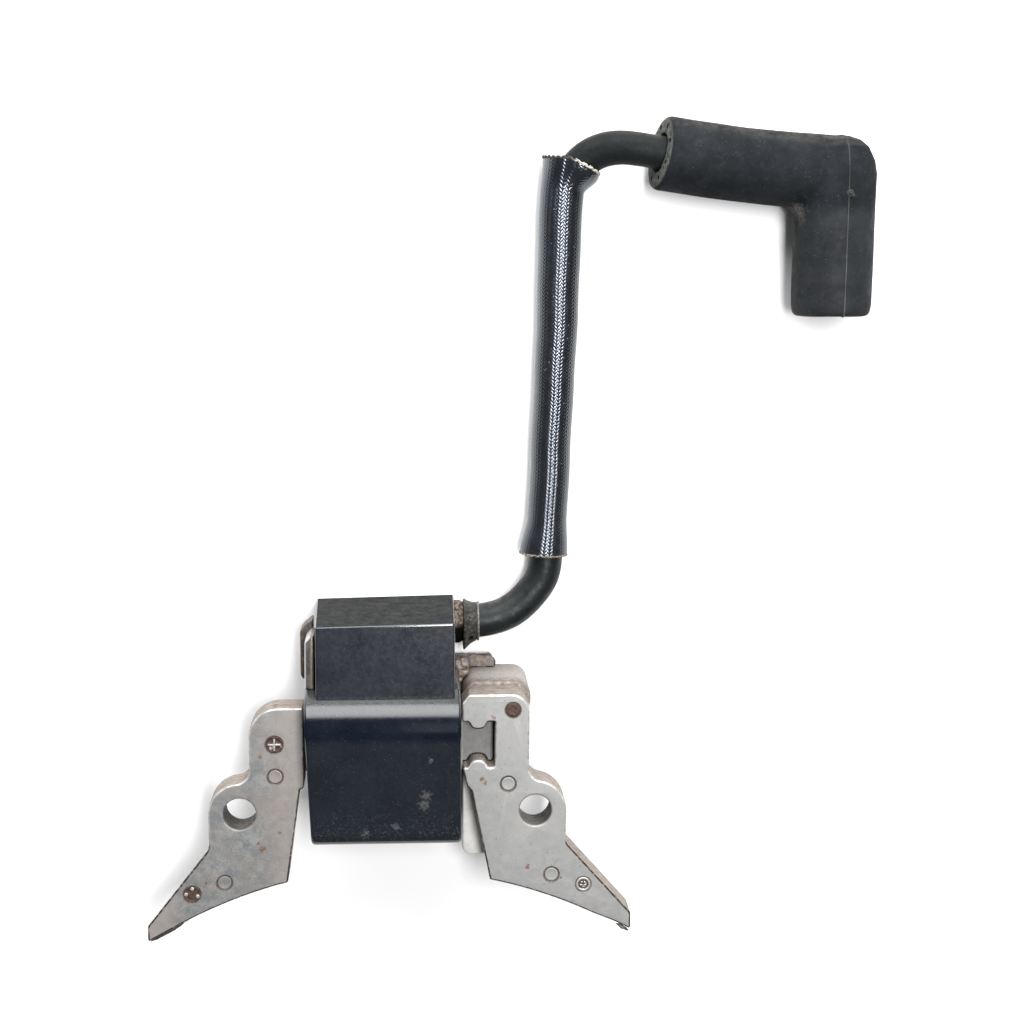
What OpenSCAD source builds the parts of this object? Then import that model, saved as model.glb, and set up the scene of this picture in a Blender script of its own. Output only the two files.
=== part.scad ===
// Flywheel ignition coil for a small engine, lying on its back.
// Origin: midway between the two mounting holes, on the legs' seating face.
// +X: right leg, +Y: away from the flywheel, +Z: out of the front of the coil.

/* [Mounting] */
// Distance between the two mounting holes
hole_spacing = 60; // [58:1:62]
// Diameter of each mounting hole
hole_d = 6.6; // [5.5:0.1:7]
// Radius of the flywheel face that the legs are shaped to
pole_r = 94; // [92:1:98]
// Thickness of each leg's stack of laminations
stack_t = 7.2; // [6.8:0.1:8]

/* [Coil case] */
// Width of the case's lower barrel
barrel_w = 31.1; // [30.5:0.1:31.3]
// Height of the upper box above the mounting holes
box_top = 40.1; // [39:0.1:41]
// Wall thickness of the case
wall = 1.4; // [1.2:0.1:1.6]
// Thickness of the iron bar through the coil
bar_t = 7.2; // [6:0.2:7.4]

/* [High-tension lead] */
// Diameter of the high-tension lead
lead_d = 7; // [6.6:0.1:7]
// Outside diameter of the braided sleeve
sleeve_d = 8.4; // [8.2:0.1:8.6]

/* [Plug cap] */
// Outside diameter of the arm that grips the lead
lead_arm_d = 14.7; // [14:0.1:15.2]
// Outside diameter of the arm that covers the spark plug
plug_arm_d = 16.8; // [16.4:0.1:16.8]
// Diameter of the spark-plug socket
socket_d = 10.6; // [10:0.1:11]

/* [Hidden] */
$fn = 64;
floor_z = -14.8;
gap = 0.05;

// Legs
hole_x = hole_spacing / 2;
boss_r = 6.3;
fillet_r = 3;
sheet_t = 0.5;
pole_y = 20.7 * 20.7;
pole_centre_y = -14.7 - sqrt(pole_r * pole_r - pole_y);
rivet_r = 1.6;
rivet_proud = 0.15;
left_rivets = [[-22.8, 14.5], [-39.9, -16.2]];
right_rivets = [[25.3, 21.2], [40, -16]];
left_tip = [48.7, -22.6];
left_rear_tip = [48, -23.2];

// Bar core and coil
bar_y0 = 9.2;
bar_y1 = 18.8;
bar_z1 = 3;
bar_z0 = bar_z1 - bar_t;
coil_y = (bar_y0 + bar_y1) / 2;
coil_z = bar_z1 - bar_t / 2;
dovetail_x = 21.7;
left_dovetail_x = 20.9;
dovetail_bump_r = 1.75;
bobbin_wall = 1.2;
bobbin_x0 = -16.9;
bobbin_x1 = 15.2;
coil_x0 = -12.7;
coil_x1 = 11.8;
primary_r = 9;
secondary_r = 10.4;
secondary_out_r = 12.9;
coil_space_r = 13.5;
rib_count = 7;
rib_t = 0.8;

// Case
barrel_x1 = 14.6;
barrel_x0 = barrel_x1 - barrel_w;
barrel_y0 = -4.5;
barrel_y1 = 26.2;
barrel_front = 16.2;
box_front = 12.4;
box_back_x = [-15, 13.8];
box_front_x = [-14.1, 13.4];
potting_z = floor_z + 0.6;

// Igniter block behind the right leg
igniter_x = [15.3, 29.4];
igniter_y = [-11.9, 25.2];
igniter_foot_x = 22.9;
igniter_step_y = 9.8;
igniter_wall = 1.2;
igniter_round = 3.2;
igniter_foot_round = 1.6;
igniter_front = -0.05;

// High-tension lead: where it leaves the case, its route and the cap
lead_r = lead_d / 2;
tower_x = 15.6;
lead_exit = [14, 35.6, -9.4];
lead_route = [
    [14, 35.6, -9.4], [18, 35.9, -9.4], [22, 36.5, -9.6], [25, 37.5, -9.9], [27.8, 39.4, -10.2],
    [30.2, 41.9, -10.4], [31.9, 44.4, -10.5], [32.7, 46.8, -10.5], [33.8, 68, -10.5],
    [34.8, 87.5, -10.5], [35.8, 107, -10.5], [36.7, 124.5, -10.5], [37.1, 127.6, -10.3],
    [38.3, 130.1, -9.8], [40.5, 132, -9], [43.4, 133, -8.1], [46.8, 133.1, -7.2],
    [50.4, 132.5, -6.5], [54.5, 131.9, -6.3], [79.4, 129.6, -6.3]
];
sleeve_start = lead_route[7];
sleeve_end = lead_route[11];
sleeve_angle = atan2(sleeve_start[0] - sleeve_end[0], sleeve_end[1] - sleeve_start[1]);
sleeve_from = 3.5;
sleeve_length = 74;

cap_elbow = [90.6, 128.53, -6.3];
cap_angle = -5.3;
lead_arm_length = 36.3;
plug_arm_length = 28.5;
lead_depth = 26;
socket_depth = 18;
pocket_r = 4.6;
terminal_r = 3.9;

function arc(c, r, from, to, n) =
    [for (i = [0:n]) c + r * [cos(from + (to - from) * i / n), sin(from + (to - from) * i / n)]];

// ---- legs ------------------------------------------------------------------------------------

// A leg's outline, drawn for the right-hand side: the foot that both legs share, the boss round its
// hole, and an upper lobe with a rounded outer corner. The points of inner run down its inner edge.
// The foot runs from shin_y on the boss's side to its tip
module leg_outline_2d(edge_x, top, r, heel_x, tip, shin_y, inner) {
    c = [edge_x + fillet_r, sqrt(pow(boss_r + fillet_r, 2) - pow(edge_x + fillet_r - hole_x, 2))];
    touch = atan2(c[1], c[0] - hole_x);
    polygon(concat(
        [[heel_x, -19], [tip[0], -30], tip, [hole_x + boss_r, shin_y]],
        arc([hole_x, 0], boss_r, 0, touch, 16),
        arc(c, fillet_r, 170 + touch, 180, 7),
        arc([edge_x - r, top - r], r, 0, 90, 10),
        inner
    ));
}

module pole_and_hole_2d() {
    translate([0, pole_centre_y])
        circle(r = pole_r, $fn = 180);
    translate([hole_x, 0])
        circle(d = hole_d);
}

module dovetail_bumps_2d(r, clear) {
    translate([18.25, bar_y0 - 0.3 + clear])
        circle(r = r);
    translate([18.25, bar_y1 + 0.5 - clear])
        circle(r = r);
}

module dovetail_slot_2d(end_x) {
    difference() {
        translate([14, bar_y0])
            square([end_x - 14, bar_y1 - bar_y0]);
        dovetail_bumps_2d(dovetail_bump_r, 0);
    }
}

module left_leg_2d(slotted, tip, shin_y) {
    mirror([1, 0])
        difference() {
            leg_outline_2d(27.9, 22, 6, 21, tip, shin_y, [[17, 22], [17, 5.4], [17.9, 4.9]]);
            pole_and_hole_2d();
            if (slotted)
                dovetail_slot_2d(left_dovetail_x);
            for (p = left_rivets)
                translate([-p[0], p[1]])
                    circle(r = rivet_r);
        }
}

module right_leg_2d() {
    difference() {
        leg_outline_2d(28.6, 24, 3.6, 21.6, [49.9, -22.5], -7, [
            [17.3, 24], [15.4, 21.9], [15.4, 9.2], [16.1, 5.4], [17, 4.55]
        ]);
        pole_and_hole_2d();
        dovetail_slot_2d(dovetail_x);
        for (p = right_rivets)
            translate(p)
                circle(r = rivet_r);
    }
}

module left_leg_front_sheet() {
    color("Gainsboro")
        translate([0, 0, stack_t - sheet_t])
            linear_extrude(sheet_t)
                left_leg_2d(false, left_tip, -7);
}

module left_leg_laminations() {
    color("Tan")
        difference() {
            translate([0, 0, sheet_t])
                linear_extrude(stack_t - 2 * sheet_t)
                    left_leg_2d(false, left_rear_tip, -8.3);
            mirror([1, 0, 0])
                linear_extrude(bar_z1 + gap)
                    dovetail_slot_2d(left_dovetail_x);
        }
}

module left_leg_rear_sheet() {
    color("Gainsboro")
        linear_extrude(sheet_t)
            left_leg_2d(true, left_rear_tip, -8.3);
}

module right_leg_front_sheet() {
    color("Gainsboro")
        translate([0, 0, stack_t - sheet_t])
            linear_extrude(sheet_t)
                right_leg_2d();
}

module right_leg_laminations() {
    color("Tan")
        translate([0, 0, sheet_t])
            linear_extrude(stack_t - 2 * sheet_t)
                right_leg_2d();
}

module right_leg_rear_sheet() {
    color("Gainsboro")
        linear_extrude(sheet_t)
            right_leg_2d();
}

module rivets(places, back) {
    for (p = places)
        translate([p[0], p[1], -back])
            cylinder(r = rivet_r, h = stack_t + back + rivet_proud);
}

module left_leg_rivets() {
    color("Sienna")
        rivets(left_rivets, rivet_proud);
}

module right_leg_rivets() {
    color("Sienna")
        rivets(right_rivets, 0);
}

// ---- bar core and windings -------------------------------------------------------------------

module bar_end_2d(end_x) {
    difference() {
        translate([0, bar_y0 + gap])
            square([end_x - gap, bar_y1 - bar_y0 - 2 * gap]);
        dovetail_bumps_2d(dovetail_bump_r + gap, 0);
    }
}

module bar_core() {
    color("Silver")
        translate([0, 0, bar_z0])
            linear_extrude(bar_t) {
                bar_end_2d(dovetail_x);
                mirror([1, 0])
                    bar_end_2d(left_dovetail_x);
            }
}

// A bar along X with the core's cross-section, grown by a margin on every side
module core_passage(x0, x1, margin) {
    translate([x0, bar_y0 - margin, bar_z0 - margin])
        cube([x1 - x0, bar_y1 - bar_y0 + 2 * margin, bar_t + 2 * margin]);
}

module on_coil_axis(x) {
    translate([x, coil_y, coil_z])
        rotate([0, 90, 0])
            children();
}

module primary_bobbin() {
    color("Khaki")
        difference() {
            union() {
                core_passage(bobbin_x0, bobbin_x1, bobbin_wall);
                for (x = [coil_x0, coil_x1 - 1])
                    on_coil_axis(x)
                        cylinder(r = primary_r + 0.4, h = 1);
            }
            core_passage(bobbin_x0 - 1, bobbin_x1 + 1, gap / 2);
        }
}

module primary_winding() {
    color("Peru")
        difference() {
            on_coil_axis(coil_x0 + 1)
                cylinder(r = primary_r, h = coil_x1 - coil_x0 - 2);
            core_passage(bobbin_x0, bobbin_x1, bobbin_wall);
        }
}

module secondary_bobbin() {
    pitch = (coil_x1 - coil_x0 - rib_t) / (rib_count - 1);
    color("Ivory")
        difference() {
            union() {
                on_coil_axis(coil_x0)
                    cylinder(r = secondary_r, h = coil_x1 - coil_x0);
                for (i = [0:rib_count - 1])
                    on_coil_axis(coil_x0 + i * pitch)
                        cylinder(r = secondary_out_r + 0.3, h = rib_t);
            }
            on_coil_axis(coil_x0 - 1)
                cylinder(r = primary_r + 0.5, h = coil_x1 - coil_x0 + 2);
        }
}

module secondary_winding() {
    pitch = (coil_x1 - coil_x0 - rib_t) / (rib_count - 1);
    color("Chocolate")
        for (i = [0:rib_count - 2])
            on_coil_axis(coil_x0 + i * pitch + rib_t)
                difference() {
                    cylinder(r = secondary_out_r, h = pitch - rib_t);
                    translate([0, 0, -1])
                        cylinder(r = secondary_r, h = pitch + 2);
                }
}

// ---- case ------------------------------------------------------------------------------------

// Side profile of the barrel (across it and out of its front), drawn a margin inside the outside
function barrel_profile(m) = concat(
    [[barrel_y0 + m, floor_z]],
    arc([barrel_y0 + 2.8, 12.6], 2.8 - m, 180, 90, 6),
    arc([18.6, 8.8], barrel_front - 8.8 - m, 90, 12, 10),
    [[barrel_y1 - m, 8.8], [barrel_y1 - m, floor_z]]
);

module barrel_body(x0, x1, m) {
    translate([x0, 0, 0])
        rotate([90, 0, 90])
            linear_extrude(x1 - x0)
                polygon(barrel_profile(m));
}

// The tapered upper box, wider at the open back, drawn a margin inside the outside
module box_body(m) {
    translate([0, box_top - m, 0])
        rotate([90, 0, 0])
            linear_extrude(box_top - m - 20)
                polygon([
                    [box_back_x[0] + m, floor_z], [box_back_x[1] - m, floor_z],
                    [box_front_x[1] - m, box_front - m], [box_front_x[0] + m, box_front - m]
                ]);
}

module case_cavity() {
    barrel_body(barrel_x0 + wall, barrel_x1 - wall, wall);
    box_body(wall);
}

module along_lead_exit(x) {
    translate([x, lead_exit[1], lead_exit[2]])
        rotate([0, 90, 0])
            children();
}

module coil_case() {
    color("DarkSlateGray")
        difference() {
            union() {
                barrel_body(barrel_x0, barrel_x1, 0);
                box_body(0);
                along_lead_exit(12.8)
                    cylinder(r = 4.3, h = tower_x - 12.8);
            }
            difference() {
                case_cavity();
                along_lead_exit(11.4)
                    cylinder(r = 4.3, h = 5);
            }
            translate([0, 0, -1])
                case_cavity();
            along_lead_exit(lead_exit[0])
                cylinder(r = lead_r + gap, h = 4);
            along_lead_exit(5)
                cylinder(r = 0.9, h = 12);
            core_passage(-20, 20, bobbin_wall);
        }
}

module case_potting() {
    color("Olive")
        difference() {
            intersection() {
                case_cavity();
                translate([-30, -10, potting_z])
                    cube([60, 60, 40]);
            }
            on_coil_axis(coil_x0 - 0.1)
                cylinder(r = coil_space_r, h = coil_x1 - coil_x0 + 0.2);
            core_passage(-20, 20, bobbin_wall);
            along_lead_exit(3)
                cylinder(r = 0.9, h = 12);
            translate([3, 26, lead_exit[2] - 0.9])
                cube([1.8, lead_exit[1] - 26, 1.8]);
            kill_lead_body(gap);
        }
}

// Brass spike that carries the high tension from the secondary to the lead
module ht_terminal() {
    color("Goldenrod") {
        along_lead_exit(3)
            cylinder(r = 0.9, h = lead_exit[0] - 3.1);
        translate([3, 26, lead_exit[2] - 0.9])
            cube([1.8, lead_exit[1] - 26, 1.8]);
    }
}

// ---- left-hand terminal ----------------------------------------------------------------------

module terminal_guard() {
    color("DimGray")
        translate([0, 0, -4.6])
            linear_extrude(5)
                difference() {
                    polygon([
                        [-14.9, 26.3], [-17.3, 26.3], [-17.75, 27.2], [-17.75, 36.1], [-17.2, 37],
                        [-15.5, 38.5], [-15.1, 38.6]
                    ]);
                    polygon([[-15.2, 34], [-14, 34], [-14, 40], [-15.2, 40]]);
                }
}

module kill_terminal() {
    color("LightGray")
        translate([0, 0, 0.5])
            linear_extrude(8)
                polygon([
                    [-14.6, 26.2], [-16.5, 26.2], [-16.4, 35.8], [-16.1, 36.4], [-15.2, 37.1],
                    [-14.6, 37.2]
                ]);
}

module kill_lead_body(grow) {
    translate([-14.5 - grow, 29 - grow, 4 - grow])
        cube([6 + 3 * grow, 1.2 + 2 * grow, 1.2 + 2 * grow]);
}

module kill_lead() {
    color("Peru")
        translate([0.1 - gap, 0, 0])
            intersection() {
                kill_lead_body(0);
                translate([-12.6, 20, -5])
                    cube([20, 20, 20]);
            }
}

// ---- lead boss -------------------------------------------------------------------------------

module lead_boss() {
    color("DimGray")
        difference() {
            union() {
                along_lead_exit(tower_x + gap)
                    cylinder(r = 5.3, h = 0.8);
                along_lead_exit(tower_x + gap + 0.8)
                    cylinder(r1 = 5.1, r2 = 4, h = 2);
            }
            along_lead_exit(tower_x - 1)
                cylinder(r = lead_r + 0.02, h = 6);
            translate([0, -0.3, 0])
                along_lead_exit(tower_x + 1)
                    cylinder(r = lead_r + 0.1, h = 6);
        }
}

module lead_collar() {
    color("Silver")
        translate([0, 0.2, 0])
            along_lead_exit(tower_x + gap + 2.85)
                difference() {
                    cylinder(r = 4.05, h = 0.5);
                    translate([0, 0, -1])
                        cylinder(r = lead_r + 0.3, h = 3);
                }
}

// ---- igniter ---------------------------------------------------------------------------------

// The igniter block's outline, drawn a margin inside the outside. Its lower part is narrow, so that
// the screw through the leg's hole has room
module igniter_2d(m) {
    x0 = igniter_x[0] + m;
    x1 = igniter_x[1] - m;
    x2 = igniter_foot_x - m;
    y0 = igniter_y[0] + m;
    y1 = igniter_y[1] - m;
    y2 = igniter_step_y + m;
    r = igniter_round - m;
    f = igniter_foot_round - m;
    polygon(concat(
        arc([x0 + f, y0 + f], f, 180, 270, 5),
        arc([x2 - f, y0 + f], f, 270, 360, 5),
        [[x2, y2]],
        arc([x1 - f, y2 + f], f, 270, 360, 5),
        arc([x1 - r, y1 - r], r, 0, 90, 8),
        arc([x0 + r, y1 - r], r, 90, 180, 8)
    ));
}

// The board's outline: a strip down the foot with a wider head
module board_body() {
    translate([17.2, -10, -6.9])
        cube([4.2, 30.6, 0.8]);
    translate([17.2, 11.5, -6.9])
        cube([10, 9.1, 0.8]);
}

module chip_body() {
    translate([18.5, 11.9, -8.95])
        cube([7, 8.3, 2]);
}

module core_recess() {
    translate([10, bar_y0 - 0.6, bar_z0 - 0.3])
        cube([dovetail_x - 9.4, bar_y1 - bar_y0 + 1.2, 10]);
}

module igniter_housing() {
    color("LightGray")
        difference() {
            translate([0, 0, floor_z])
                linear_extrude(igniter_front - floor_z)
                    igniter_2d(0);
            translate([0, 0, floor_z - 1])
                linear_extrude(igniter_front - floor_z + 1 - 6)
                    igniter_2d(igniter_wall);
            core_recess();
            translate([10, 21, floor_z - 1])
                cube([7.2, 3.2, 4]);
        }
}

module igniter_board() {
    color("White")
        board_body();
}

module igniter_transistor() {
    color("Black")
        chip_body();
}

module igniter_potting() {
    color("Gray")
        difference() {
            translate([0, 0, floor_z + 0.4])
                linear_extrude(igniter_front - 6 - floor_z - 0.4)
                    igniter_2d(igniter_wall);
            board_body();
            chip_body();
            translate([12, 21, floor_z])
                cube([8, 3, 3]);
        }
}

// Resin bridge that carries the wires from the case's open back to the igniter
module wire_bridge() {
    color("RosyBrown")
        difference() {
            translate([0, 0, floor_z + 0.3])
                linear_extrude(2.9)
                    polygon([
                        [barrel_x1 + gap, 20.5], [igniter_x[0] - gap, 20.5],
                        [igniter_x[0] - gap, igniter_y[1] + gap], [22.6, igniter_y[1] + gap],
                        [22.6, 26.6], [21.4, 27.9], [box_back_x[1] + gap, 27.9],
                        [box_back_x[1] + gap, barrel_y1 + gap], [barrel_x1 + gap, barrel_y1 + gap]
                    ]);
            translate([13, 21.75, floor_z + 0.9])
                cube([4, 1.5, 1.6]);
        }
}

module primary_leads() {
    color("Peru")
        for (y = [22.15, 22.85])
            translate([14.9, y, floor_z + 1.6])
                rotate([0, 90, 0])
                    cylinder(r = 0.3, h = 3);
}

// ---- high-tension lead and sleeve ------------------------------------------------------------

function unit(v) = v / norm(v);

// Direction of the lead at one of its route points
function heading(i) =
    unit(lead_route[min(i + 1, len(lead_route) - 1)] - lead_route[max(i - 1, 0)]);

function ring(i, sides) =
    let (t = heading(i), a = unit(cross([0, 0, 1], t)), b = cross(t, a))
    [for (k = [0:sides - 1])
        lead_route[i] + lead_r * (cos(360 * k / sides) * a + sin(360 * k / sides) * b)];

module ht_lead() {
    sides = 12;
    rings = len(lead_route);
    points = [for (i = [0:rings - 1]) each ring(i, sides)];
    walls = [
        for (i = [0:rings - 2], k = [0:sides - 1])
            let (a = i * sides + k, b = i * sides + (k + 1) % sides)
            each [[a, b, b + sides], [a, b + sides, a + sides]]
    ];
    start_cap = [for (k = [0:sides - 1]) sides - 1 - k];
    end_cap = [for (k = [0:sides - 1]) (rings - 1) * sides + k];
    color("DarkSlateGray")
        polyhedron(points, concat(walls, [start_cap, end_cap]));
}

module lead_sleeve() {
    color("SlateGray")
        translate(sleeve_start)
            rotate([0, 0, sleeve_angle])
                rotate([-90, 0, 0])
                    translate([0, 0, sleeve_from])
                        difference() {
                            cylinder(d = sleeve_d, h = sleeve_length);
                            translate([0, 0, -1])
                                cylinder(r = lead_r + 0.08, h = sleeve_length + 2);
                        }
}

// ---- plug cap --------------------------------------------------------------------------------

// Places children at the elbow with +Z pointing out of the lead arm's mouth
module on_lead_arm() {
    translate(cap_elbow)
        rotate([0, 0, cap_angle])
            rotate([0, -90, 0])
                children();
}

// Places children at the elbow with +Z pointing out of the spark-plug socket
module on_plug_arm() {
    translate(cap_elbow)
        rotate([90, 0, 0])
            children();
}

module plug_cap() {
    color("DimGray")
        difference() {
            union() {
                on_lead_arm()
                    cylinder(d = lead_arm_d, h = lead_arm_length);
                on_plug_arm()
                    cylinder(d = plug_arm_d, h = plug_arm_length);
                translate(cap_elbow)
                    sphere(d = plug_arm_d - 0.2);
            }
            on_lead_arm()
                translate([0, 0, lead_arm_length - lead_depth])
                    cylinder(r = lead_r + gap, h = lead_depth + 1);
            on_lead_arm()
                cylinder(r = 1.3, h = lead_arm_length);
            on_plug_arm()
                translate([0, 0, plug_arm_length - socket_depth])
                    cylinder(d = socket_d, h = socket_depth + 1);
            on_plug_arm()
                translate([0, 0, -3])
                    cylinder(r = pocket_r, h = plug_arm_length);
        }
}

module cap_contact_screw() {
    color("Silver")
        on_lead_arm()
            translate([0, 0, terminal_r + 0.2])
                cylinder(r = 1.2, h = lead_arm_length - lead_depth + 0.5 - terminal_r);
}

module plug_terminal() {
    color("Goldenrod")
        on_plug_arm()
            translate([0, 0, -2.9])
                difference() {
                    cylinder(r = terminal_r, h = 12.2);
                    translate([0, 0, 5])
                        cylinder(r = 3.15, h = 12);
                    translate([0, 0, 9])
                        rotate_extrude()
                            translate([4.1, 0])
                                circle(r = 0.45, $fn = 24);
                }
}

module plug_spring_clip() {
    color("Silver")
        on_plug_arm()
            translate([0, 0, 6.1])
                rotate_extrude()
                    translate([4.1, 0])
                        circle(r = 0.4, $fn = 24);
}

coil_case();
case_potting();
primary_bobbin();
primary_winding();
secondary_bobbin();
secondary_winding();
bar_core();
left_leg_front_sheet();
left_leg_laminations();
left_leg_rear_sheet();
right_leg_front_sheet();
right_leg_laminations();
right_leg_rear_sheet();
left_leg_rivets();
right_leg_rivets();
terminal_guard();
kill_terminal();
kill_lead();
ht_terminal();
lead_boss();
lead_collar();
igniter_housing();
igniter_board();
igniter_transistor();
igniter_potting();
wire_bridge();
primary_leads();
ht_lead();
lead_sleeve();
plug_cap();
cap_contact_screw();
plug_terminal();
plug_spring_clip();
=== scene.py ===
"""Looks of the ignition coil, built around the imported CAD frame.

Lengths here are millimetres until a mesh is made."""

import math
import random

import bmesh
import bpy
from mathutils import Matrix, Vector, noise
from mathutils.geometry import tessellate_polygon


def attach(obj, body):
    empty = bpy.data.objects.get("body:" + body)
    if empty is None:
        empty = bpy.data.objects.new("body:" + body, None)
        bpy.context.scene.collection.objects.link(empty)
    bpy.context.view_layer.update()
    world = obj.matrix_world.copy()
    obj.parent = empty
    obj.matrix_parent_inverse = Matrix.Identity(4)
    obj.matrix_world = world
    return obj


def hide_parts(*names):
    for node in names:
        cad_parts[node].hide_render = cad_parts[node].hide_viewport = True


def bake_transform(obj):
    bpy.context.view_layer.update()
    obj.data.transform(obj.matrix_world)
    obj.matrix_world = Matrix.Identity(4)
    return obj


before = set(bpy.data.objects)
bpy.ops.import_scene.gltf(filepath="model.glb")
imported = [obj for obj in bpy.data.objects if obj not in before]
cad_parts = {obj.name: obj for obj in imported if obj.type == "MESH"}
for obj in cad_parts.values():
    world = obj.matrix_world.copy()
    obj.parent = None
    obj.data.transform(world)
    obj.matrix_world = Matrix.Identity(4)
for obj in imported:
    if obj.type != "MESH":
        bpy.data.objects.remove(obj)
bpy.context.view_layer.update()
MM = 0.001
FLOOR = -14.8
scene = bpy.context.scene
rng = random.Random(11)

# ---- camera ----------------------------------------------------------------------------------

CAMERA_AT = Vector((4.3, 119.1, 348.5)) * MM
CAMERA_AIM = Vector((24.83, 61.79, 7.2)) * MM
CAMERA_ROLL = math.radians(0.337)
CAMERA_LENS = 61.5


def make_camera():
    data = bpy.data.cameras.new("camera")
    data.lens = CAMERA_LENS
    data.sensor_width = 36
    data.clip_start, data.clip_end = 0.01, 20
    cam = bpy.data.objects.new("camera", data)
    scene.collection.objects.link(cam)
    back = (CAMERA_AT - CAMERA_AIM).normalized()
    level = Vector((0, 1, 0)).cross(back).normalized()
    x = math.cos(CAMERA_ROLL) * level + math.sin(CAMERA_ROLL) * back.cross(level)
    y = back.cross(x)
    cam.matrix_world = Matrix.Translation(CAMERA_AT) @ Matrix((x, y, back)).transposed().to_4x4()
    scene.camera = cam


make_camera()

# ---- mesh tools ------------------------------------------------------------------------------


def arc(cx, cy, r, start, end, n):
    """n + 1 points on an arc, angles in degrees."""
    angles = [math.radians(start + (end - start) * i / n) for i in range(n + 1)]
    return [(cx + r * math.cos(a), cy + r * math.sin(a)) for a in angles]


def soften(points, per_corner=5):
    """A closed outline from points (x, y) or (x, y, radius), with each corner rounded by its radius."""
    out = []
    n = len(points)
    for i, p in enumerate(points):
        b = Vector(p[:2])
        r = p[2] if len(p) > 2 else 0
        a, c = Vector(points[i - 1][:2]), Vector(points[(i + 1) % n][:2])
        u, v = (a - b), (c - b)
        lu, lv = u.length, v.length
        u, v = u / lu, v / lv
        half = math.acos(max(-1, min(1, u.dot(v)))) / 2
        if r <= 0 or half > math.radians(88):
            out.append((b.x, b.y))
            continue
        t = min(r / math.tan(half), 0.48 * lu, 0.48 * lv)
        start, end = b + u * t, b + v * t
        for k in range(per_corner + 1):
            s = k / per_corner
            q = (1 - s) ** 2 * start + 2 * s * (1 - s) * (b * 0.93 + (start + end) * 0.035) + s * s * end
            out.append((q.x, q.y))
    return out


def circle(cx, cy, r, n=48):
    return arc(cx, cy, r, 0, 360 * (n - 1) / n, n - 1)


def signed_area(loop):
    return sum(a[0] * b[1] - b[0] * a[1] for a, b in zip(loop, loop[1:] + loop[:1])) / 2


def inset_loop(loop, d):
    """The loop moved into the material on its left by d."""
    out = []
    n = len(loop)
    for i in range(n):
        a, b, c = Vector(loop[i - 1]), Vector(loop[i]), Vector(loop[(i + 1) % n])
        t1, t2 = (b - a).normalized(), (c - b).normalized()
        n1, n2 = Vector((-t1.y, t1.x)), Vector((-t2.y, t2.x))
        m = n1 + n2
        m = m.normalized() if m.length > 1e-6 else n1
        out.append(b + m * (d / max(0.6, m.dot(n1))))
    return out


def plate(bm, outer, holes, steps, place=lambda u, v, w: (u, v, w), cap=0, walls=None):
    """A slab whose walls follow steps (height, inset, wall material); the caps take the material cap.

    walls gives some loops, the outer one being 0, one material for all of their walls."""
    loops = [list(outer)] + [list(h) for h in holes]
    for i, loop in enumerate(loops):
        if (signed_area(loop) > 0) != (i == 0):
            loop.reverse()
    rings = []
    for w, d, _ in steps:
        rings.append([[bm.verts.new(place(p[0], p[1], w)) for p in inset_loop(loop, d)] for loop in loops])
    for k in range(len(rings) - 1):
        for which, (low, high) in enumerate(zip(rings[k], rings[k + 1])):
            n = len(low)
            mat = (walls or {}).get(which, steps[k][2])
            for i in range(n):
                j = (i + 1) % n
                bm.faces.new((low[i], low[j], high[j], high[i])).material_index = mat
    for end in (0, -1):
        d = steps[end][1]
        flat = [[Vector((p[0], p[1], 0)) for p in inset_loop(loop, d)] for loop in loops]
        verts = [v for loop in rings[end] for v in loop]
        for tri in tessellate_polygon(flat):
            if len(set(tri)) == 3:
                bm.faces.new([verts[t] for t in tri]).material_index = cap
    return bm


def quarter_round(r, n):
    """(height, inset) pairs of an edge rounded by r, from its face inwards, in n steps."""
    angles = [math.pi / 2 * k / n for k in range(n + 1)]
    return [(r * (1 - math.cos(a)), r * (1 - math.sin(a))) for a in angles]


def ring_of(bm, n, point):
    """n new vertices, at point(angle) for angles all the way round."""
    return [bm.verts.new(point(2 * math.pi * k / n)) for k in range(n)]


def lathe(bm, at, axis, profile, segs=48, mat=0):
    """Turns (radius, height) pairs round an axis from the point at; a radius of 0 closes the end."""
    z = Vector(axis).normalized()
    x = z.orthogonal().normalized()
    y = z.cross(x)
    at = Vector(at)
    rings = []
    for r, h in profile:
        if r == 0:
            rings.append([bm.verts.new(at + z * h)])
        else:
            rings.append(ring_of(bm, segs, lambda a: at + z * h + r * (math.cos(a) * x + math.sin(a) * y)))
    join_rings(bm, rings, mat)
    return bm


def join_rings(bm, rings, mat=0):
    for a, b in zip(rings, rings[1:]):
        n = max(len(a), len(b))
        for i in range(n):
            j = (i + 1) % n
            face = [a[i % len(a)], a[j % len(a)], b[j % len(b)], b[i % len(b)]]
            face = [v for k, v in enumerate(face) if v not in face[:k]]
            bm.faces.new(face).material_index = mat


def catmull(points, step):
    """Points every step or so along a smooth curve through the given ones."""
    pts = [Vector(p) for p in points]
    pts = [2 * pts[0] - pts[1]] + pts + [2 * pts[-1] - pts[-2]]
    out = []
    for p0, p1, p2, p3 in zip(pts, pts[1:], pts[2:], pts[3:]):
        n = max(1, round((p2 - p1).length / step))
        d1, d2, d3 = [(b - a).length ** 0.5 for a, b in ((p0, p1), (p1, p2), (p2, p3))]
        m1 = (p1 - p0) / d1 - (p2 - p0) / (d1 + d2) + (p2 - p1) / d2
        m2 = (p2 - p1) / d2 - (p3 - p1) / (d2 + d3) + (p3 - p2) / d3
        for i in range(n):
            t = i / n
            a, b = 2 * t**3 - 3 * t**2 + 1, t**3 - 2 * t**2 + t
            out.append(a * p1 + b * m1 * d2 + (3 * t**2 - 2 * t**3) * p2 + (t**3 - t**2) * m2 * d2)
    return out + [pts[-2]]


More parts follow.
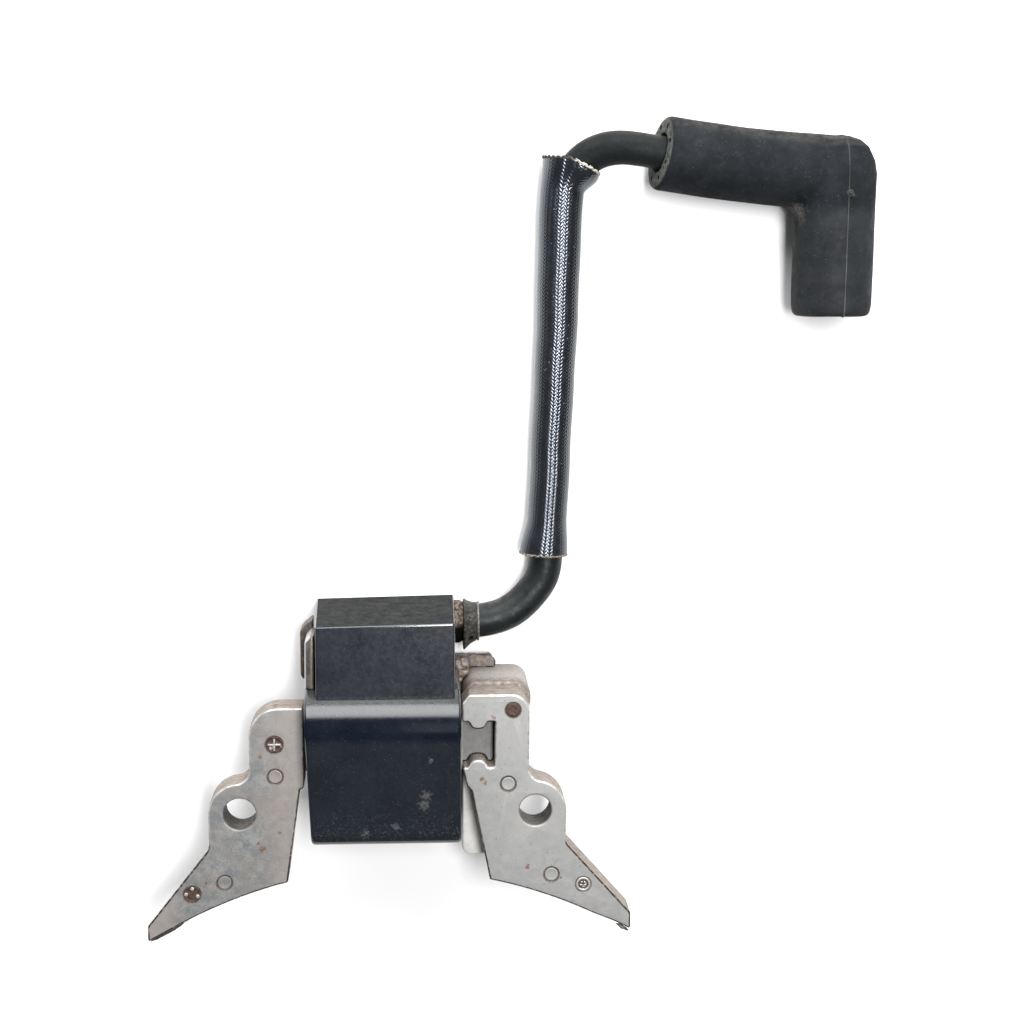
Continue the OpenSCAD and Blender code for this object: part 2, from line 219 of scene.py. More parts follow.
def frames_along(path):
    """(point, side, up) at each point of a path, turning as little as possible."""
    out = []
    up = Vector((0, 0, 1))
    for i, p in enumerate(path):
        t = (path[min(i + 1, len(path) - 1)] - path[max(i - 1, 0)]).normalized()
        side = t.cross(up).normalized()
        up = side.cross(t).normalized()
        out.append((p, side, up))
    return out


def tube(bm, path, radius, sides=12, mat=0, closed=False):
    """A tube along a path; radius is a number or a function of (share of the length, angle)."""
    rings = []
    size = radius if callable(radius) else lambda s, a: radius
    n = len(path)
    for i, (p, side, up) in enumerate(frames_along(path)):
        rings.append([])
        for k in range(sides):
            a = 2 * math.pi * k / sides
            r = size(i / (n - 1), a)
            rings[-1].append(bm.verts.new(p + r * (math.cos(a) * side + math.sin(a) * up)))
    if closed:
        join_rings(bm, rings + rings[:1], mat)
    else:
        join_rings(bm, rings, mat)
        bm.faces.new(list(reversed(rings[0]))).material_index = mat
        bm.faces.new(rings[-1]).material_index = mat
    return bm


def temp_object(bm):
    me = bpy.data.meshes.new("temp")
    bm.to_mesh(me)
    bm.free()
    ob = bpy.data.objects.new("temp", me)
    scene.collection.objects.link(ob)
    return ob


def settle(obs):
    """The first object's mesh with its modifiers applied; all of the objects are removed."""
    dg = bpy.context.evaluated_depsgraph_get()
    dg.update()
    me = bpy.data.meshes.new_from_object(obs[0].evaluated_get(dg))
    out = bmesh.new()
    out.from_mesh(me)
    bpy.data.meshes.remove(me)
    for ob in obs:
        data = ob.data
        bpy.data.objects.remove(ob)
        bpy.data.meshes.remove(data)
    return out


def combine(a, b, operation):
    obs = [temp_object(a), temp_object(b)]
    mod = obs[0].modifiers.new("cut", "BOOLEAN")
    mod.operation, mod.solver, mod.object = operation, "EXACT", obs[1]
    return settle(obs)


def remesh(bm, voxel, smooth):
    ob = temp_object(bm)
    mod = ob.modifiers.new("remesh", "REMESH")
    mod.mode, mod.voxel_size = "VOXEL", voxel
    if smooth:
        mod = ob.modifiers.new("smooth", "SMOOTH")
        mod.factor, mod.iterations = 0.5, smooth
    return settle([ob])


def rounded_rows(low, high, r, n):
    """Steps for plate() that round both ends of a slab by r, or leave them square."""
    if not r:
        return [(low, 0, 0), (high, 0, 0)]
    roll = quarter_round(r, n)
    return [(low + h, d, 0) for h, d in roll] + [(high - h, d, 0) for h, d in reversed(roll)]


def block(lo, hi, r=0.0):
    """A box as a bmesh, its ends rolled by r."""
    bm = bmesh.new()
    (x0, y0, z0), (x1, y1, z1) = lo, hi
    outline = [(x0, y0), (x1, y0), (x1, y1), (x0, y1)]
    return plate(bm, outline, [], rounded_rows(z0, z1, r, 3))


def lumps(bm, amount, scale, seed=0.0):
    """Pushes each vertex along its normal by smooth noise."""
    bm.normal_update()
    for v in bm.verts:
        v.co += v.normal * amount * noise.noise(v.co * scale + Vector((seed, seed * 1.7, seed * 0.3)))
    return bm


def piece(name, bm, looks, body, nodes=(), sharp=38, flat_over=3.0, curved=None):
    """Makes the shown piece from a mesh in millimetres and puts it on its body."""
    bmesh.ops.recalc_face_normals(bm, faces=bm.faces)
    limit = math.radians(sharp)
    for e in bm.edges:
        e.smooth = len(e.link_faces) == 2 and e.calc_face_angle(0) < limit
    for f in bm.faces:
        f.smooth = f.calc_area() < flat_over or bool(curved and curved(f.normal))
    bmesh.ops.scale(bm, vec=(MM, MM, MM), verts=bm.verts)
    me = bpy.data.meshes.new(name)
    bm.to_mesh(me)
    bm.free()
    for look in looks:
        me.materials.append(look)
    ob = bpy.data.objects.new(name, me)
    scene.collection.objects.link(ob)
    if body:
        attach(ob, body)
    if nodes:
        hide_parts(*nodes)
    return ob


# ---- materials -------------------------------------------------------------------------------


class Look:
    """A procedural material. Its textures use the piece's own coordinates, in millimetres."""

    def __init__(self, name, metal=0.0, specular=0.5, coat=0.0, coat_rough=0.2):
        self.mat = bpy.data.materials.new(name)
        self.mat.use_nodes = True
        self.tree = self.mat.node_tree
        self.out = self.tree.nodes["Principled BSDF"]
        self.out.inputs["Metallic"].default_value = metal
        self.out.inputs["Specular IOR Level"].default_value = specular
        self.out.inputs["Coat Weight"].default_value = coat
        self.out.inputs["Coat Roughness"].default_value = coat_rough
        coord = self.tree.nodes.new("ShaderNodeTexCoord")
        self.mm = self.node(
            "ShaderNodeVectorMath", {"operation": "SCALE"}, {0: coord.outputs["Object"], "Scale": 1000.0}
        ).outputs[0]
        self.base = None
        self.last_bump = None

    def node(self, kind, props, inputs):
        n = self.tree.nodes.new(kind)
        for key, value in props.items():
            setattr(n, key, value)
        for key, value in inputs.items():
            if isinstance(value, bpy.types.NodeSocket):
                self.tree.links.new(value, n.inputs[key])
            else:
                n.inputs[key].default_value = value
        return n

    def at(self, stretch, shift):
        props = {"vector_type": "POINT"}
        return self.node(
            "ShaderNodeMapping", props, {"Vector": self.mm, "Location": (shift,) * 3, "Scale": stretch}
        ).outputs[0]

    def noise(self, scale, detail=3.0, rough=0.55, stretch=(1, 1, 1), shift=0.0):
        inputs = {"Vector": self.at(stretch, shift), "Scale": scale, "Detail": detail, "Roughness": rough}
        return self.node("ShaderNodeTexNoise", {}, inputs).outputs["Fac"]

    def cells(self, scale, shift=0.0):
        inputs = {"Vector": self.at((1, 1, 1), shift), "Scale": scale}
        return self.node("ShaderNodeTexVoronoi", {}, inputs).outputs["Distance"]

    def fit(self, value, lo, hi, to_lo=0.0, to_hi=1.0):
        inputs = {"Value": value, "From Min": lo, "From Max": hi, "To Min": to_lo, "To Max": to_hi}
        return self.node("ShaderNodeMapRange", {"interpolation_type": "SMOOTHSTEP"}, inputs).outputs[0]

    def calc(self, operation, a, b):
        return self.node(
            "ShaderNodeMath", {"operation": operation, "use_clamp": operation == "ADD"}, {0: a, 1: b}
        ).outputs[0]

    def times(self, a, b):
        return self.calc("MULTIPLY", a, b)

    def either(self, a, b):
        return self.calc("MAXIMUM", a, b)

    def mix(self, fac, a, b):
        a, b = [(*c, 1.0) if isinstance(c, tuple) and len(c) == 3 else c for c in (a, b)]
        return self.node("ShaderNodeMix", {"data_type": "RGBA"}, {0: fac, 6: a, 7: b}).outputs[2]

    def paint(self, mask, tint):
        """Lays a tint over the base colour where the mask is 1."""
        self.base = self.mix(mask, self.base, tint)

    def facing(self, axis):
        """1 where the surface faces along an axis, in the frame."""
        geo = self.tree.nodes.new("ShaderNodeNewGeometry")
        return self.node(
            "ShaderNodeVectorMath", {"operation": "DOT_PRODUCT"}, {0: geo.outputs["Normal"], 1: axis}
        ).outputs["Value"]

    def place(self, axis):
        return self.node("ShaderNodeSeparateXYZ", {}, {0: self.mm}).outputs["XYZ".index(axis)]

    def ramp(self, axis, lo, hi, to_lo=0.0, to_hi=1.0):
        """Goes smoothly from to_lo to to_hi between two places along an axis."""
        return self.fit(self.place(axis), lo, hi, to_lo, to_hi)

    def attribute(self, name):
        return self.node("ShaderNodeAttribute", {"attribute_name": name}, {}).outputs["Fac"]

    def specks(self, scale, size, rarity, shift=0.0):
        """Small scattered dots: 1 inside a dot. Rarity is from 0, everywhere, to 1, nowhere."""
        dots = self.fit(self.cells(scale, shift=shift), size * 0.6, size, 1.0, 0.0)
        some = self.fit(self.noise(scale * 0.9, 0.0, shift=shift + 31), rarity, rarity + 0.05)
        return self.times(dots, some)

    def spots(self, points, power=1.0):
        """Soft spots at (x, y, z, radius) places, broken up by noise: 1 at the middle of a spot."""
        total = None
        rag = self.noise(1.6, 3.0, shift=5)
        for x, y, z, r in points:
            far = self.node(
                "ShaderNodeVectorMath", {"operation": "DISTANCE"}, {0: self.mm, 1: (x, y, z)}
            ).outputs["Value"]
            far = self.calc("SUBTRACT", far, self.fit(rag, 0.3, 0.7, -0.45 * r, 0.45 * r))
            one = self.fit(far, 0.25 * r, r, power, 0.0)
            total = one if total is None else self.either(total, one)
        return total

    def bump(self, height, distance, strength=1.0):
        inputs = {"Height": height, "Distance": distance * MM, "Strength": strength}
        if self.last_bump:
            inputs["Normal"] = self.last_bump
        self.last_bump = self.node("ShaderNodeBump", {}, inputs).outputs[0]

    def dull(self, mask, full, least):
        """Cuts the shine where the mask is 1."""
        self.tree.links.new(self.fit(mask, 0, 1, full, least), self.out.inputs["Specular IOR Level"])

    def done(self, rough):
        self.tree.links.new(self.base, self.out.inputs["Base Color"])
        if isinstance(rough, bpy.types.NodeSocket):
            self.tree.links.new(rough, self.out.inputs["Roughness"])
        else:
            self.out.inputs["Roughness"].default_value = rough
        if self.last_bump:
            self.tree.links.new(self.last_bump, self.out.inputs["Normal"])
        return self.mat


def case_look():
    """Black moulded plastic: greyer and dusty on top, dust and a painted sheen on the barrel's up-facing
    shoulder, painted shade on the neck under the lead boss, matt on the worn shoulder, scuffed in front.
    """
    k = Look("case_plastic", specular=0.62)
    k.base = k.mix(k.fit(k.noise(0.12, 4), 0.35, 0.65), (0.0028, 0.0045, 0.0080), (0.0052, 0.0073, 0.0120))
    upper = k.times(k.ramp("Y", 24.6, 25.4), k.fit(k.noise(0.13, 3, shift=12), 0.3, 0.62, 0.15, 1.0))
    k.paint(upper, (0.0105, 0.0124, 0.0175))
    haze = k.fit(k.noise(0.22, 5, 0.7, shift=8), 0.5, 0.75, 0.0, 0.35)
    k.paint(haze, (0.0085, 0.0100, 0.0130))
    up = k.fit(k.facing((0, 1, 0)), 0.6, 0.95)
    # dust and painted sheen: the up-facing barrel shoulder below y 30 is painted lighter, partly dust and
    # partly a painted highlight where the band of light falls
    dust_and_sheen = k.mix(
        k.fit(k.noise(1.5, 5, 0.8, shift=3), 0.38, 0.62), (0.014, 0.016, 0.018), (0.042, 0.039, 0.032)
    )
    k.paint(k.times(up, k.ramp("Y", 30, 34, 0.45, 0.0)), dust_and_sheen)
    dust = k.mix(
        k.fit(k.noise(0.35, 6, 0.8, shift=3), 0.38, 0.64), (0.0185, 0.0205, 0.0230), (0.034, 0.034, 0.032)
    )
    dust = k.mix(k.fit(k.noise(2.7, 5, 0.85, shift=14), 0.56, 0.66, 0.0, 0.8), dust, (0.100, 0.090, 0.070))
    k.paint(k.times(up, k.ramp("Y", 34, 38)), dust)
    k.paint(k.specks(1.3, 0.15, 0.50), (0.034, 0.033, 0.031))
    k.paint(k.specks(2.6, 0.2, 0.52, shift=9), (0.030, 0.030, 0.030))
    low = k.fit(k.noise(2.2, 5, 0.85, shift=17), 0.54, 0.64)
    low = k.times(low, k.ramp("Y", 8, -4, 0.0, 0.85))
    k.paint(low, (0.050, 0.048, 0.045))
    scuff = k.times(
        k.fit(k.noise(1.1, 4, 0.7, (1, 6, 1), 2), 0.62, 0.70),
        k.fit(k.noise(0.2, 2, shift=4), 0.54, 0.64, 0.0, 0.6)
    )
    k.paint(scuff, (0.035, 0.037, 0.040))
    marks = [
        (7.6, 6.3, 16, 1.3), (7.2, 4.4, 16, 1.5), (8.4, 13.6, 16.2, 0.7), (1.6, -0.2, 15.4, 1.1),
        (-4.5, -1.5, 14.8, 1.2),
    ]
    marks = k.times(k.spots(marks, 0.75), k.fit(k.noise(3.0, 5, 0.85, shift=21), 0.42, 0.58, 0.25, 1.0))
    k.paint(marks, (0.085, 0.082, 0.078))
    # painted shade: the neck is painted near-black below y 35.2 for the shade under the boss flange, with
    # brown dirt above y 36.4
    neck = k.times(k.ramp("X", 13.5, 13.85), k.ramp("Y", 30, 31))
    dirt_and_shade = k.mix(k.fit(k.noise(1.4, 4, shift=2), 0.4, 0.6), (0.034, 0.024, 0.019), (0.120, 0.098, 0.082))
    k.paint(neck, k.mix(k.ramp("Y", 35.2, 36.4), (0.004, 0.0035, 0.003), dirt_and_shade))
    k.bump(k.noise(5.0, 2), 0.02, 0.4)
    k.bump(k.noise(1.3, 4, 0.75, shift=6), 0.03, 0.3)
    worn = k.times(k.ramp("Y", 16.0, 19.0), k.ramp("Y", 23.6, 21.0))
    matt = k.either(k.times(up, k.ramp("Y", 34, 38)), neck)
    k.dull(k.either(matt, k.times(worn, 0.93)), 0.62, 0.0)
    rough = k.fit(k.noise(1.1, 5, 0.75, shift=7), 0.3, 0.7, 0.14, 0.22)
    shoulder = k.times(k.ramp("Y", 22.2, 23.6), k.ramp("Y", 26, 25.4))
    rough = k.calc(
        "ADD", rough, k.times(shoulder, k.fit(k.noise(2.4, 5, 0.85, shift=25), 0.35, 0.65, 0.0, 0.1))
    )
    return k.done(rough)


def steel_look(
    name, tint=(0.205, 0.203, 0.198), shade=(0.125, 0.132, 0.138), warm=(0.185, 0.168, 0.152), rust=(),
    sides=True
):
    """Zinc-plated sheet; sides makes the right leg brighter and parts of the left one warmer."""
    k = Look(name, metal=0.35)
    k.base = k.mix(k.fit(k.noise(0.45, 6, 0.8), 0.40, 0.62), shade, tint)
    k.paint(k.fit(k.noise(0.1, 4, 0.6, shift=6), 0.46, 0.66, 0.0, 0.75), warm)
    lines = k.noise(3.0, 4, 0.7, (1, 0.07, 1), 2)
    k.paint(k.fit(lines, 0.5, 0.7, 0.0, 0.12), (0.27, 0.27, 0.265))
    grain = k.noise(3.6, 6, 0.9, (0.6, 1, 1), 19)
    k.paint(k.fit(grain, 0.46, 0.62, 0.0, 0.65), (0.112, 0.110, 0.107))
    blotch = k.fit(k.noise(1.0, 6, 0.85, shift=11), 0.52, 0.66, 0.0, 0.5)
    k.paint(blotch, (0.105, 0.108, 0.112))
    if sides:
        k.paint(k.ramp("X", -4, 18, 0.0, 0.62), (0.248, 0.247, 0.242))
        near = k.times(k.ramp("X", -28, -19), k.ramp("X", -10, -14))
        tips = k.times(k.ramp("X", -40, -46), k.ramp("Y", -14, -18))
        k.paint(k.times(k.either(near, tips), 0.72), (0.240, 0.214, 0.198))
    k.paint(k.specks(1.1, 0.14, 0.60, shift=3), (0.10, 0.065, 0.04))
    k.paint(k.specks(2.3, 0.2, 0.58, shift=5), (0.12, 0.11, 0.10))
    if rust:
        k.paint(k.spots(rust, 0.9), (0.115, 0.052, 0.026))
    k.bump(lines, 0.012, 0.5)
    k.bump(k.noise(1.8, 5, 0.7, shift=9), 0.03, 0.4)
    rough = k.fit(k.noise(0.7, 5, 0.7, shift=13), 0.3, 0.7, 0.36, 0.56)
    return k.done(rough)


def roll_look():
    """The rolled rim of an outer sheet: pale, partly a painted highlight for the light the rolled edge
    catches, and brown where it faces down the leg or lies low on it, painted shade with some dirt.
    """
    k = Look("sheet_rim", metal=0.4)
    # painted highlight: the pale tone stands partly for the light that the rolled edge catches
    k.base = k.mix(k.fit(k.noise(0.8, 4), 0.4, 0.65), (0.42, 0.41, 0.39), (0.28, 0.27, 0.25))
    # painted shade: rims facing down, and all rims low on the leg, are painted brown, with some dirt
    low = k.fit(k.facing((0, -1, 0)), -0.12, 0.2)
    low = k.either(low, k.ramp("Y", -5.5, -7.5))
    dirt_and_shade = k.times(low, k.fit(k.noise(1.4, 3, shift=4), 0.3, 0.5, 0.5, 1.0))
    k.paint(dirt_and_shade, (0.030, 0.020, 0.014))
    k.bump(k.noise(3, 3), 0.02, 0.4)
    return k.done(k.fit(k.noise(1.0, 3, shift=2), 0.3, 0.7, 0.25, 0.42))


def edge_look():
    """The sheared edges of the laminations, tarnished tan and brown."""
    k = Look("lamination_edges", metal=0.2)
    k.base = k.mix(
        k.fit(k.noise(0.5, 5, 0.65, (1, 1, 3)), 0.35, 0.68), (0.215, 0.185, 0.160), (0.140, 0.115, 0.096)
    )
    k.paint(k.fit(k.noise(1.7, 4, 0.7, (1, 1, 2.2), 3), 0.55, 0.7), (0.27, 0.25, 0.23))
    stain = k.fit(k.noise(0.3, 4, 0.7, shift=8), 0.55, 0.7, 0.0, 0.8)
    k.paint(stain, (0.055, 0.037, 0.027))
    k.bump(k.noise(2.2, 4, 0.7, (1, 1, 4)), 0.06, 0.6)
    return k.done(k.fit(k.noise(1.2, 4, shift=2), 0.3, 0.7, 0.4, 0.65))


def rivet_look():
    k = Look("rivet_steel", metal=0.4)
    wear = k.attribute("wear")
    rust = k.mix(k.fit(k.noise(2.5, 5, 0.7), 0.35, 0.65), (0.024, 0.012, 0.009), (0.070, 0.038, 0.028))
    edge = k.calc("ADD", wear, k.fit(k.noise(3.5, 4, 0.7, shift=3), 0.3, 0.7, -0.25, 0.25))
    k.base = k.mix(k.fit(edge, 0.4, 0.62), rust, (0.30, 0.29, 0.275))
    k.bump(k.noise(3.0, 5, 0.75, shift=4), 0.08, 0.7)
    return k.done(k.fit(edge, 0.3, 0.7, 0.62, 0.3))


def rubber_look(
    name, dark, light, dust_tint, gloss=(0.5, 0.72), dusty=1.0, specular=0.35, ends=False, lumpy=0.15
):
    """Dusty rubber; ends adds the pale mouth and the dirt in the corner of the cap."""
    k = Look(name, specular=specular)
    k.base = k.mix(k.fit(k.noise(0.14, 5, 0.65), 0.35, 0.68), dark, light)
    k.paint(k.fit(k.noise(0.6, 5, 0.75, shift=5), 0.5, 0.75, 0.0, 0.55 * dusty), dust_tint)
    up = k.times(k.fit(k.facing((0, 1, 0)), 0.6, 1.0), k.fit(k.noise(0.5, 4, 0.7, shift=2), 0.35, 0.65))
    k.paint(k.times(up, 0.7 * dusty), (0.052, 0.047, 0.040))
    k.paint(k.specks(1.5, 0.16, 0.56), (0.055, 0.055, 0.052))
    k.paint(k.specks(3.2, 0.22, 0.55, shift=7), (0.035, 0.035, 0.033))
    if ends:
        mouth = k.times(k.fit(k.facing((-1, 0.09, 0.1)), 0.7, 0.9), k.ramp("X", 57, 56))
        mouth = k.times(mouth, k.fit(k.noise(1.2, 4, 0.7, shift=4), 0.35, 0.6, 0.2, 1.0))
        k.paint(mouth, (0.095, 0.100, 0.088))
        web = k.spots([(82.6, 120.2, -3.0, 2.6)], 0.7)
        k.paint(web, (0.050, 0.046, 0.040))
    else:
        k.paint(k.ramp("Y", 118, 125, 0.0, 0.4), (0.017, 0.018, 0.018))
    k.bump(k.noise(4.0, 4, 0.7), 0.03, 0.6)
    k.bump(k.noise(0.8, 4, 0.6, shift=8), lumpy, 0.35)
    k.dull(k.ramp("Y", 118, 124), specular, specular * 0.3)
    return k.done(k.fit(k.noise(0.4, 5, 0.6, shift=9), 0.3, 0.7, *gloss))


def braid_look():
    k = Look("braid", specular=0.95, coat=0.12, coat_rough=0.16)
    k.out.inputs["Specular Tint"].default_value = (0.80, 0.88, 1.0, 1.0)
    k.base = k.mix(
        k.fit(k.noise(0.3, 4, 0.6), 0.35, 0.65), (0.0020, 0.0028, 0.0042), (0.0050, 0.0062, 0.0080)
    )
    k.paint(k.fit(k.noise(0.9, 5, 0.75, shift=4), 0.6, 0.78, 0.0, 0.5), (0.020, 0.020, 0.018))
    k.paint(k.specks(0.9, 0.15, 0.58), (0.12, 0.11, 0.10))
    k.bump(k.noise(6.0, 3, 0.7), 0.03, 0.5)
    return k.done(k.fit(k.noise(1.5, 3, shift=3), 0.3, 0.7, 0.17, 0.27))


def fray_look():
    """Loose fibres of the sleeve's cut ends; on the top end the right side is painted pale as painted light
    and the left side painted dark as painted shade.
    """
    k = Look("fray")
    k.base = k.mix(k.fit(k.noise(1.6, 5, 0.65), 0.35, 0.65), (0.10, 0.085, 0.06), (0.25, 0.22, 0.17))
    # painted light and shade: the top end's fibres are pale on the right, where light falls, and dark on
    # the left, in shade
    pale = k.times(k.ramp("X", 37.3, 38.3), k.ramp("Y", 100, 101))
    k.paint(pale, (0.42, 0.39, 0.33))
    dark = k.times(k.ramp("X", 37.8, 36.6), k.ramp("Y", 100, 101))
    k.paint(dark, (0.02, 0.02, 0.018))
    k.paint(k.fit(k.noise(2.0, 4, 0.7, shift=9), 0.52, 0.62, 0.0, 0.8), (0.03, 0.022, 0.015))
    k.bump(k.noise(9, 3), 0.05, 0.6)
    return k.done(0.8)


def plain_look(
    name, dark, light, scale=0.6, rough=(0.45, 0.65), metal=0.0, bump=0.05, stain=None, coat=0.0,
    specular=0.5
):
    """Two mixed tints with blotches, an optional stain, and fine relief."""
    k = Look(name, metal=metal, coat=coat, specular=specular)
    k.base = k.mix(k.fit(k.noise(scale, 5, 0.65), 0.35, 0.65), dark, light)
    mid = tuple((a + b) * 0.32 for a, b in zip(dark, light))
    k.paint(k.fit(k.noise(scale * 2.7, 5, 0.75, shift=5), 0.56, 0.74, 0.0, 0.6), mid)
    if stain:
        k.paint(k.fit(k.noise(scale * 1.3, 4, 0.7, shift=9), 0.5, 0.62, 0.0, 0.85), stain)
    k.bump(k.noise(scale * 6, 5, 0.7), bump, 0.6)
    return k.done(k.fit(k.noise(scale * 2, 4, shift=7), 0.3, 0.7, *rough))


def igniter_look():
    k = Look("igniter_plastic")
    # painted light: the pale base is partly the block's own grey and partly painted light that lifts the
    # lower block where it sits in shade between the case and the right leg; the top is painted over with
    # its grain
    k.base = k.mix(k.fit(k.noise(0.3, 4), 0.35, 0.65), (0.44, 0.43, 0.415), (0.53, 0.52, 0.505))
    top = k.ramp("Y", 19.5, 21.5)
    grain = k.mix(
        k.fit(k.noise(2.8, 6, 0.9, shift=3), 0.43, 0.58), (0.125, 0.108, 0.097), (0.275, 0.248, 0.230)
    )
    k.paint(k.times(top, 0.9), grain)
    brown = k.times(k.ramp("Z", -5.0, -0.8, 0.0, 0.8), top)
    k.paint(k.times(brown, k.fit(k.noise(0.8, 5, 0.7, shift=6), 0.35, 0.55)), (0.085, 0.065, 0.05))
    corner = k.times(k.ramp("X", 17.4, 15.7), k.fit(k.noise(1.1, 5, 0.7, shift=16), 0.3, 0.55, 0.3, 0.9))
    k.paint(k.times(corner, top), (0.110, 0.072, 0.052))
    k.paint(k.specks(1.8, 0.16, 0.56, shift=2), (0.10, 0.085, 0.07))
    k.bump(k.noise(3.5, 4, 0.7), 0.05, 0.5)
    return k.done(k.fit(k.noise(0.9, 4, shift=7), 0.3, 0.7, 0.5, 0.7))


def tab_look():
    """The kill terminal: dark steel with a painted highlight on its rounded left edge and a tan strip
    beside the case.
    """
    k = Look("tab_steel", metal=0.45)
    k.base = k.mix(k.fit(k.noise(0.8, 5, 0.7), 0.35, 0.65), (0.022, 0.023, 0.025), (0.058, 0.058, 0.058))
    k.paint(k.fit(k.noise(1.4, 4, 0.7, shift=9), 0.54, 0.66, 0.0, 0.7), (0.105, 0.088, 0.072))
    # painted highlight: faces turned to the left and up are painted near-white
    k.paint(k.fit(k.facing((-0.9, 0.25, 0.36)), 0.45, 0.8), (0.42, 0.41, 0.40))
    k.paint(k.ramp("X", -15.4, -15.15), (0.125, 0.102, 0.080))
    k.bump(k.noise(4.5, 5, 0.7), 0.04, 0.6)
    return k.done(k.fit(k.noise(1.6, 4, shift=7), 0.3, 0.7, 0.28, 0.42))


CASE = case_look()
STEEL_RUST = [
    (-25.6, 12.0, 7.2, 0.5), (-21.9, -4.0, 7.2, 0.55), (-25.4, -7.4, 7.2, 0.9), (-26.3, -6.2, 7.2, 0.4),
    (19.0, 6.8, 7.2, 0.6), (19.7, 6.0, 7.2, 0.5), (21.4, 19.6, 7.2, 0.7), (28.4, -12.1, 7.2, 0.7),
    (35.3, -14.6, 7.2, 0.45), (-37.0, -14.5, 7.2, 0.4), (20.8, -14.0, 7.2, 0.4), (35.6, 5.2, 7.2, 0.45),
]
SHEET = steel_look("core_steel", rust=STEEL_RUST)
BAR = steel_look(
    "bar_steel", (0.150, 0.145, 0.142), (0.105, 0.103, 0.102), (0.125, 0.110, 0.100), sides=False
)
RIM = roll_look()
EDGE = edge_look()
# painted shade: the dark bore_wall tone stands for the shade inside the holes of the middle sheets; the
# dark curls under the tips share it
BORE = plain_look(
    "bore_wall", (0.052, 0.046, 0.040), (0.085, 0.078, 0.070), 0.9, (0.4, 0.6), 0.3,
    stain=(0.03, 0.024, 0.02)
)
RIVET = rivet_look()
GROOVE = plain_look(
    "ring_grooves", (0.060, 0.048, 0.038), (0.115, 0.095, 0.080), 1.2, (0.5, 0.7), 0.1,
    stain=(0.04, 0.026, 0.018)
)
RUBBER = rubber_look(
    "cap_rubber", (0.0080, 0.0094, 0.0112), (0.0140, 0.0160, 0.0182), (0.024, 0.024, 0.0235), (0.6, 0.8),
    specular=0.16, ends=True
)
FLASH = rubber_look(
    "cap_flash", (0.036, 0.037, 0.038), (0.062, 0.062, 0.062), (0.09, 0.088, 0.082), (0.6, 0.8),
    specular=0.2
)
JACKET = rubber_look(
    "lead_jacket", (0.0035, 0.0055, 0.0058), (0.0065, 0.0090, 0.0095), (0.013, 0.015, 0.0145), (0.34, 0.52),
    0.9, 0.18, lumpy=0.35
)
SEAL = plain_look(
    "seal_rubber", (0.006, 0.0065, 0.006), (0.026, 0.026, 0.023), 1.3, (0.35, 0.55), bump=0.12,
    stain=(0.060, 0.057, 0.050), specular=0.2
)
BRAID = braid_look()
FRAY = fray_look()
GUARD = plain_look(
    "guard_plastic", (0.022, 0.018, 0.016), (0.060, 0.048, 0.040), 1.1, stain=(0.10, 0.075, 0.06)
)
TAB = tab_look()
COLLAR = plain_look(
    "collar", (0.045, 0.042, 0.036), (0.125, 0.118, 0.100), 1.5, (0.25, 0.45), stain=(0.03, 0.03, 0.026)
)
IGNITER = igniter_look()
BRIDGE = plain_look(
    "bridge_resin", (0.070, 0.050, 0.040), (0.175, 0.140, 0.115), 1.1, (0.25, 0.45), bump=0.12,
    stain=(0.05, 0.030, 0.020), coat=0.1
)
POTTING = plain_look(
    "potting_resin", (0.020, 0.017, 0.013), (0.038, 0.032, 0.023), 0.25, (0.18, 0.4), bump=0.15, coat=0.3
)
GREY_POTTING = plain_look(
    "grey_potting", (0.08, 0.076, 0.07), (0.13, 0.125, 0.115), 0.3, (0.3, 0.5), bump=0.15
)
BOBBIN = plain_look("bobbin_plastic", (0.13, 0.125, 0.115), (0.19, 0.18, 0.165), 0.7)
COPPER = plain_look("copper_wire", (0.25, 0.09, 0.04), (0.40, 0.16, 0.07), 1.2, (0.2, 0.35), 0.9)
TARNISHED = plain_look(
    "tarnished_wire", (0.045, 0.026, 0.018), (0.085, 0.045, 0.028), 1.2, (0.35, 0.55), 0.5
)
BRASS = plain_look(
    "brass", (0.25, 0.17, 0.065), (0.42, 0.30, 0.12), 1.0, (0.2, 0.4), 1.0, stain=(0.09, 0.06, 0.03)
)
CERAMIC = plain_look("board_ceramic", (0.25, 0.25, 0.24), (0.32, 0.32, 0.31), 0.8)
CHIP = plain_look("chip_plastic", (0.007, 0.007, 0.008), (0.014, 0.014, 0.015), 0.8)
SPRING = plain_look("spring_steel", (0.20, 0.195, 0.19), (0.35, 0.345, 0.34), 1.5, (0.15, 0.3), 1.0)

# ---- high-tension lead -----------------------------------------------------------------------


def ease(x):
    x = max(0.0, min(1.0, x))
    return x * x * (3 - 2 * x)


LEAD_ROUTE = [
    (14, 35.6, -9.4), (18, 35.9, -9.4), (22, 36.5, -9.6), (25, 37.5, -9.9), (27.8, 39.4, -10.2),
    (30.2, 41.9, -10.4), (31.9, 44.4, -10.5), (32.7, 46.8, -10.5), (33.8, 68, -10.5),
    (34.7, 87.5, -10.5), (35.4, 107, -10.5), (36.4, 124, -10.5), (37.3, 127.2, -10.3),
    (38.8, 129.6, -9.8), (41.0, 131.6, -9), (43.9, 132.9, -8.1), (47.2, 133.3, -7.2),
    (50.6, 133.0, -6.5), (54.5, 132.4, -6.3), (66, 130.9, -6.3), (79.4, 129.6, -6.3),
]
LEAD_R = 3.5
lead_path = catmull(LEAD_ROUTE, 0.8)


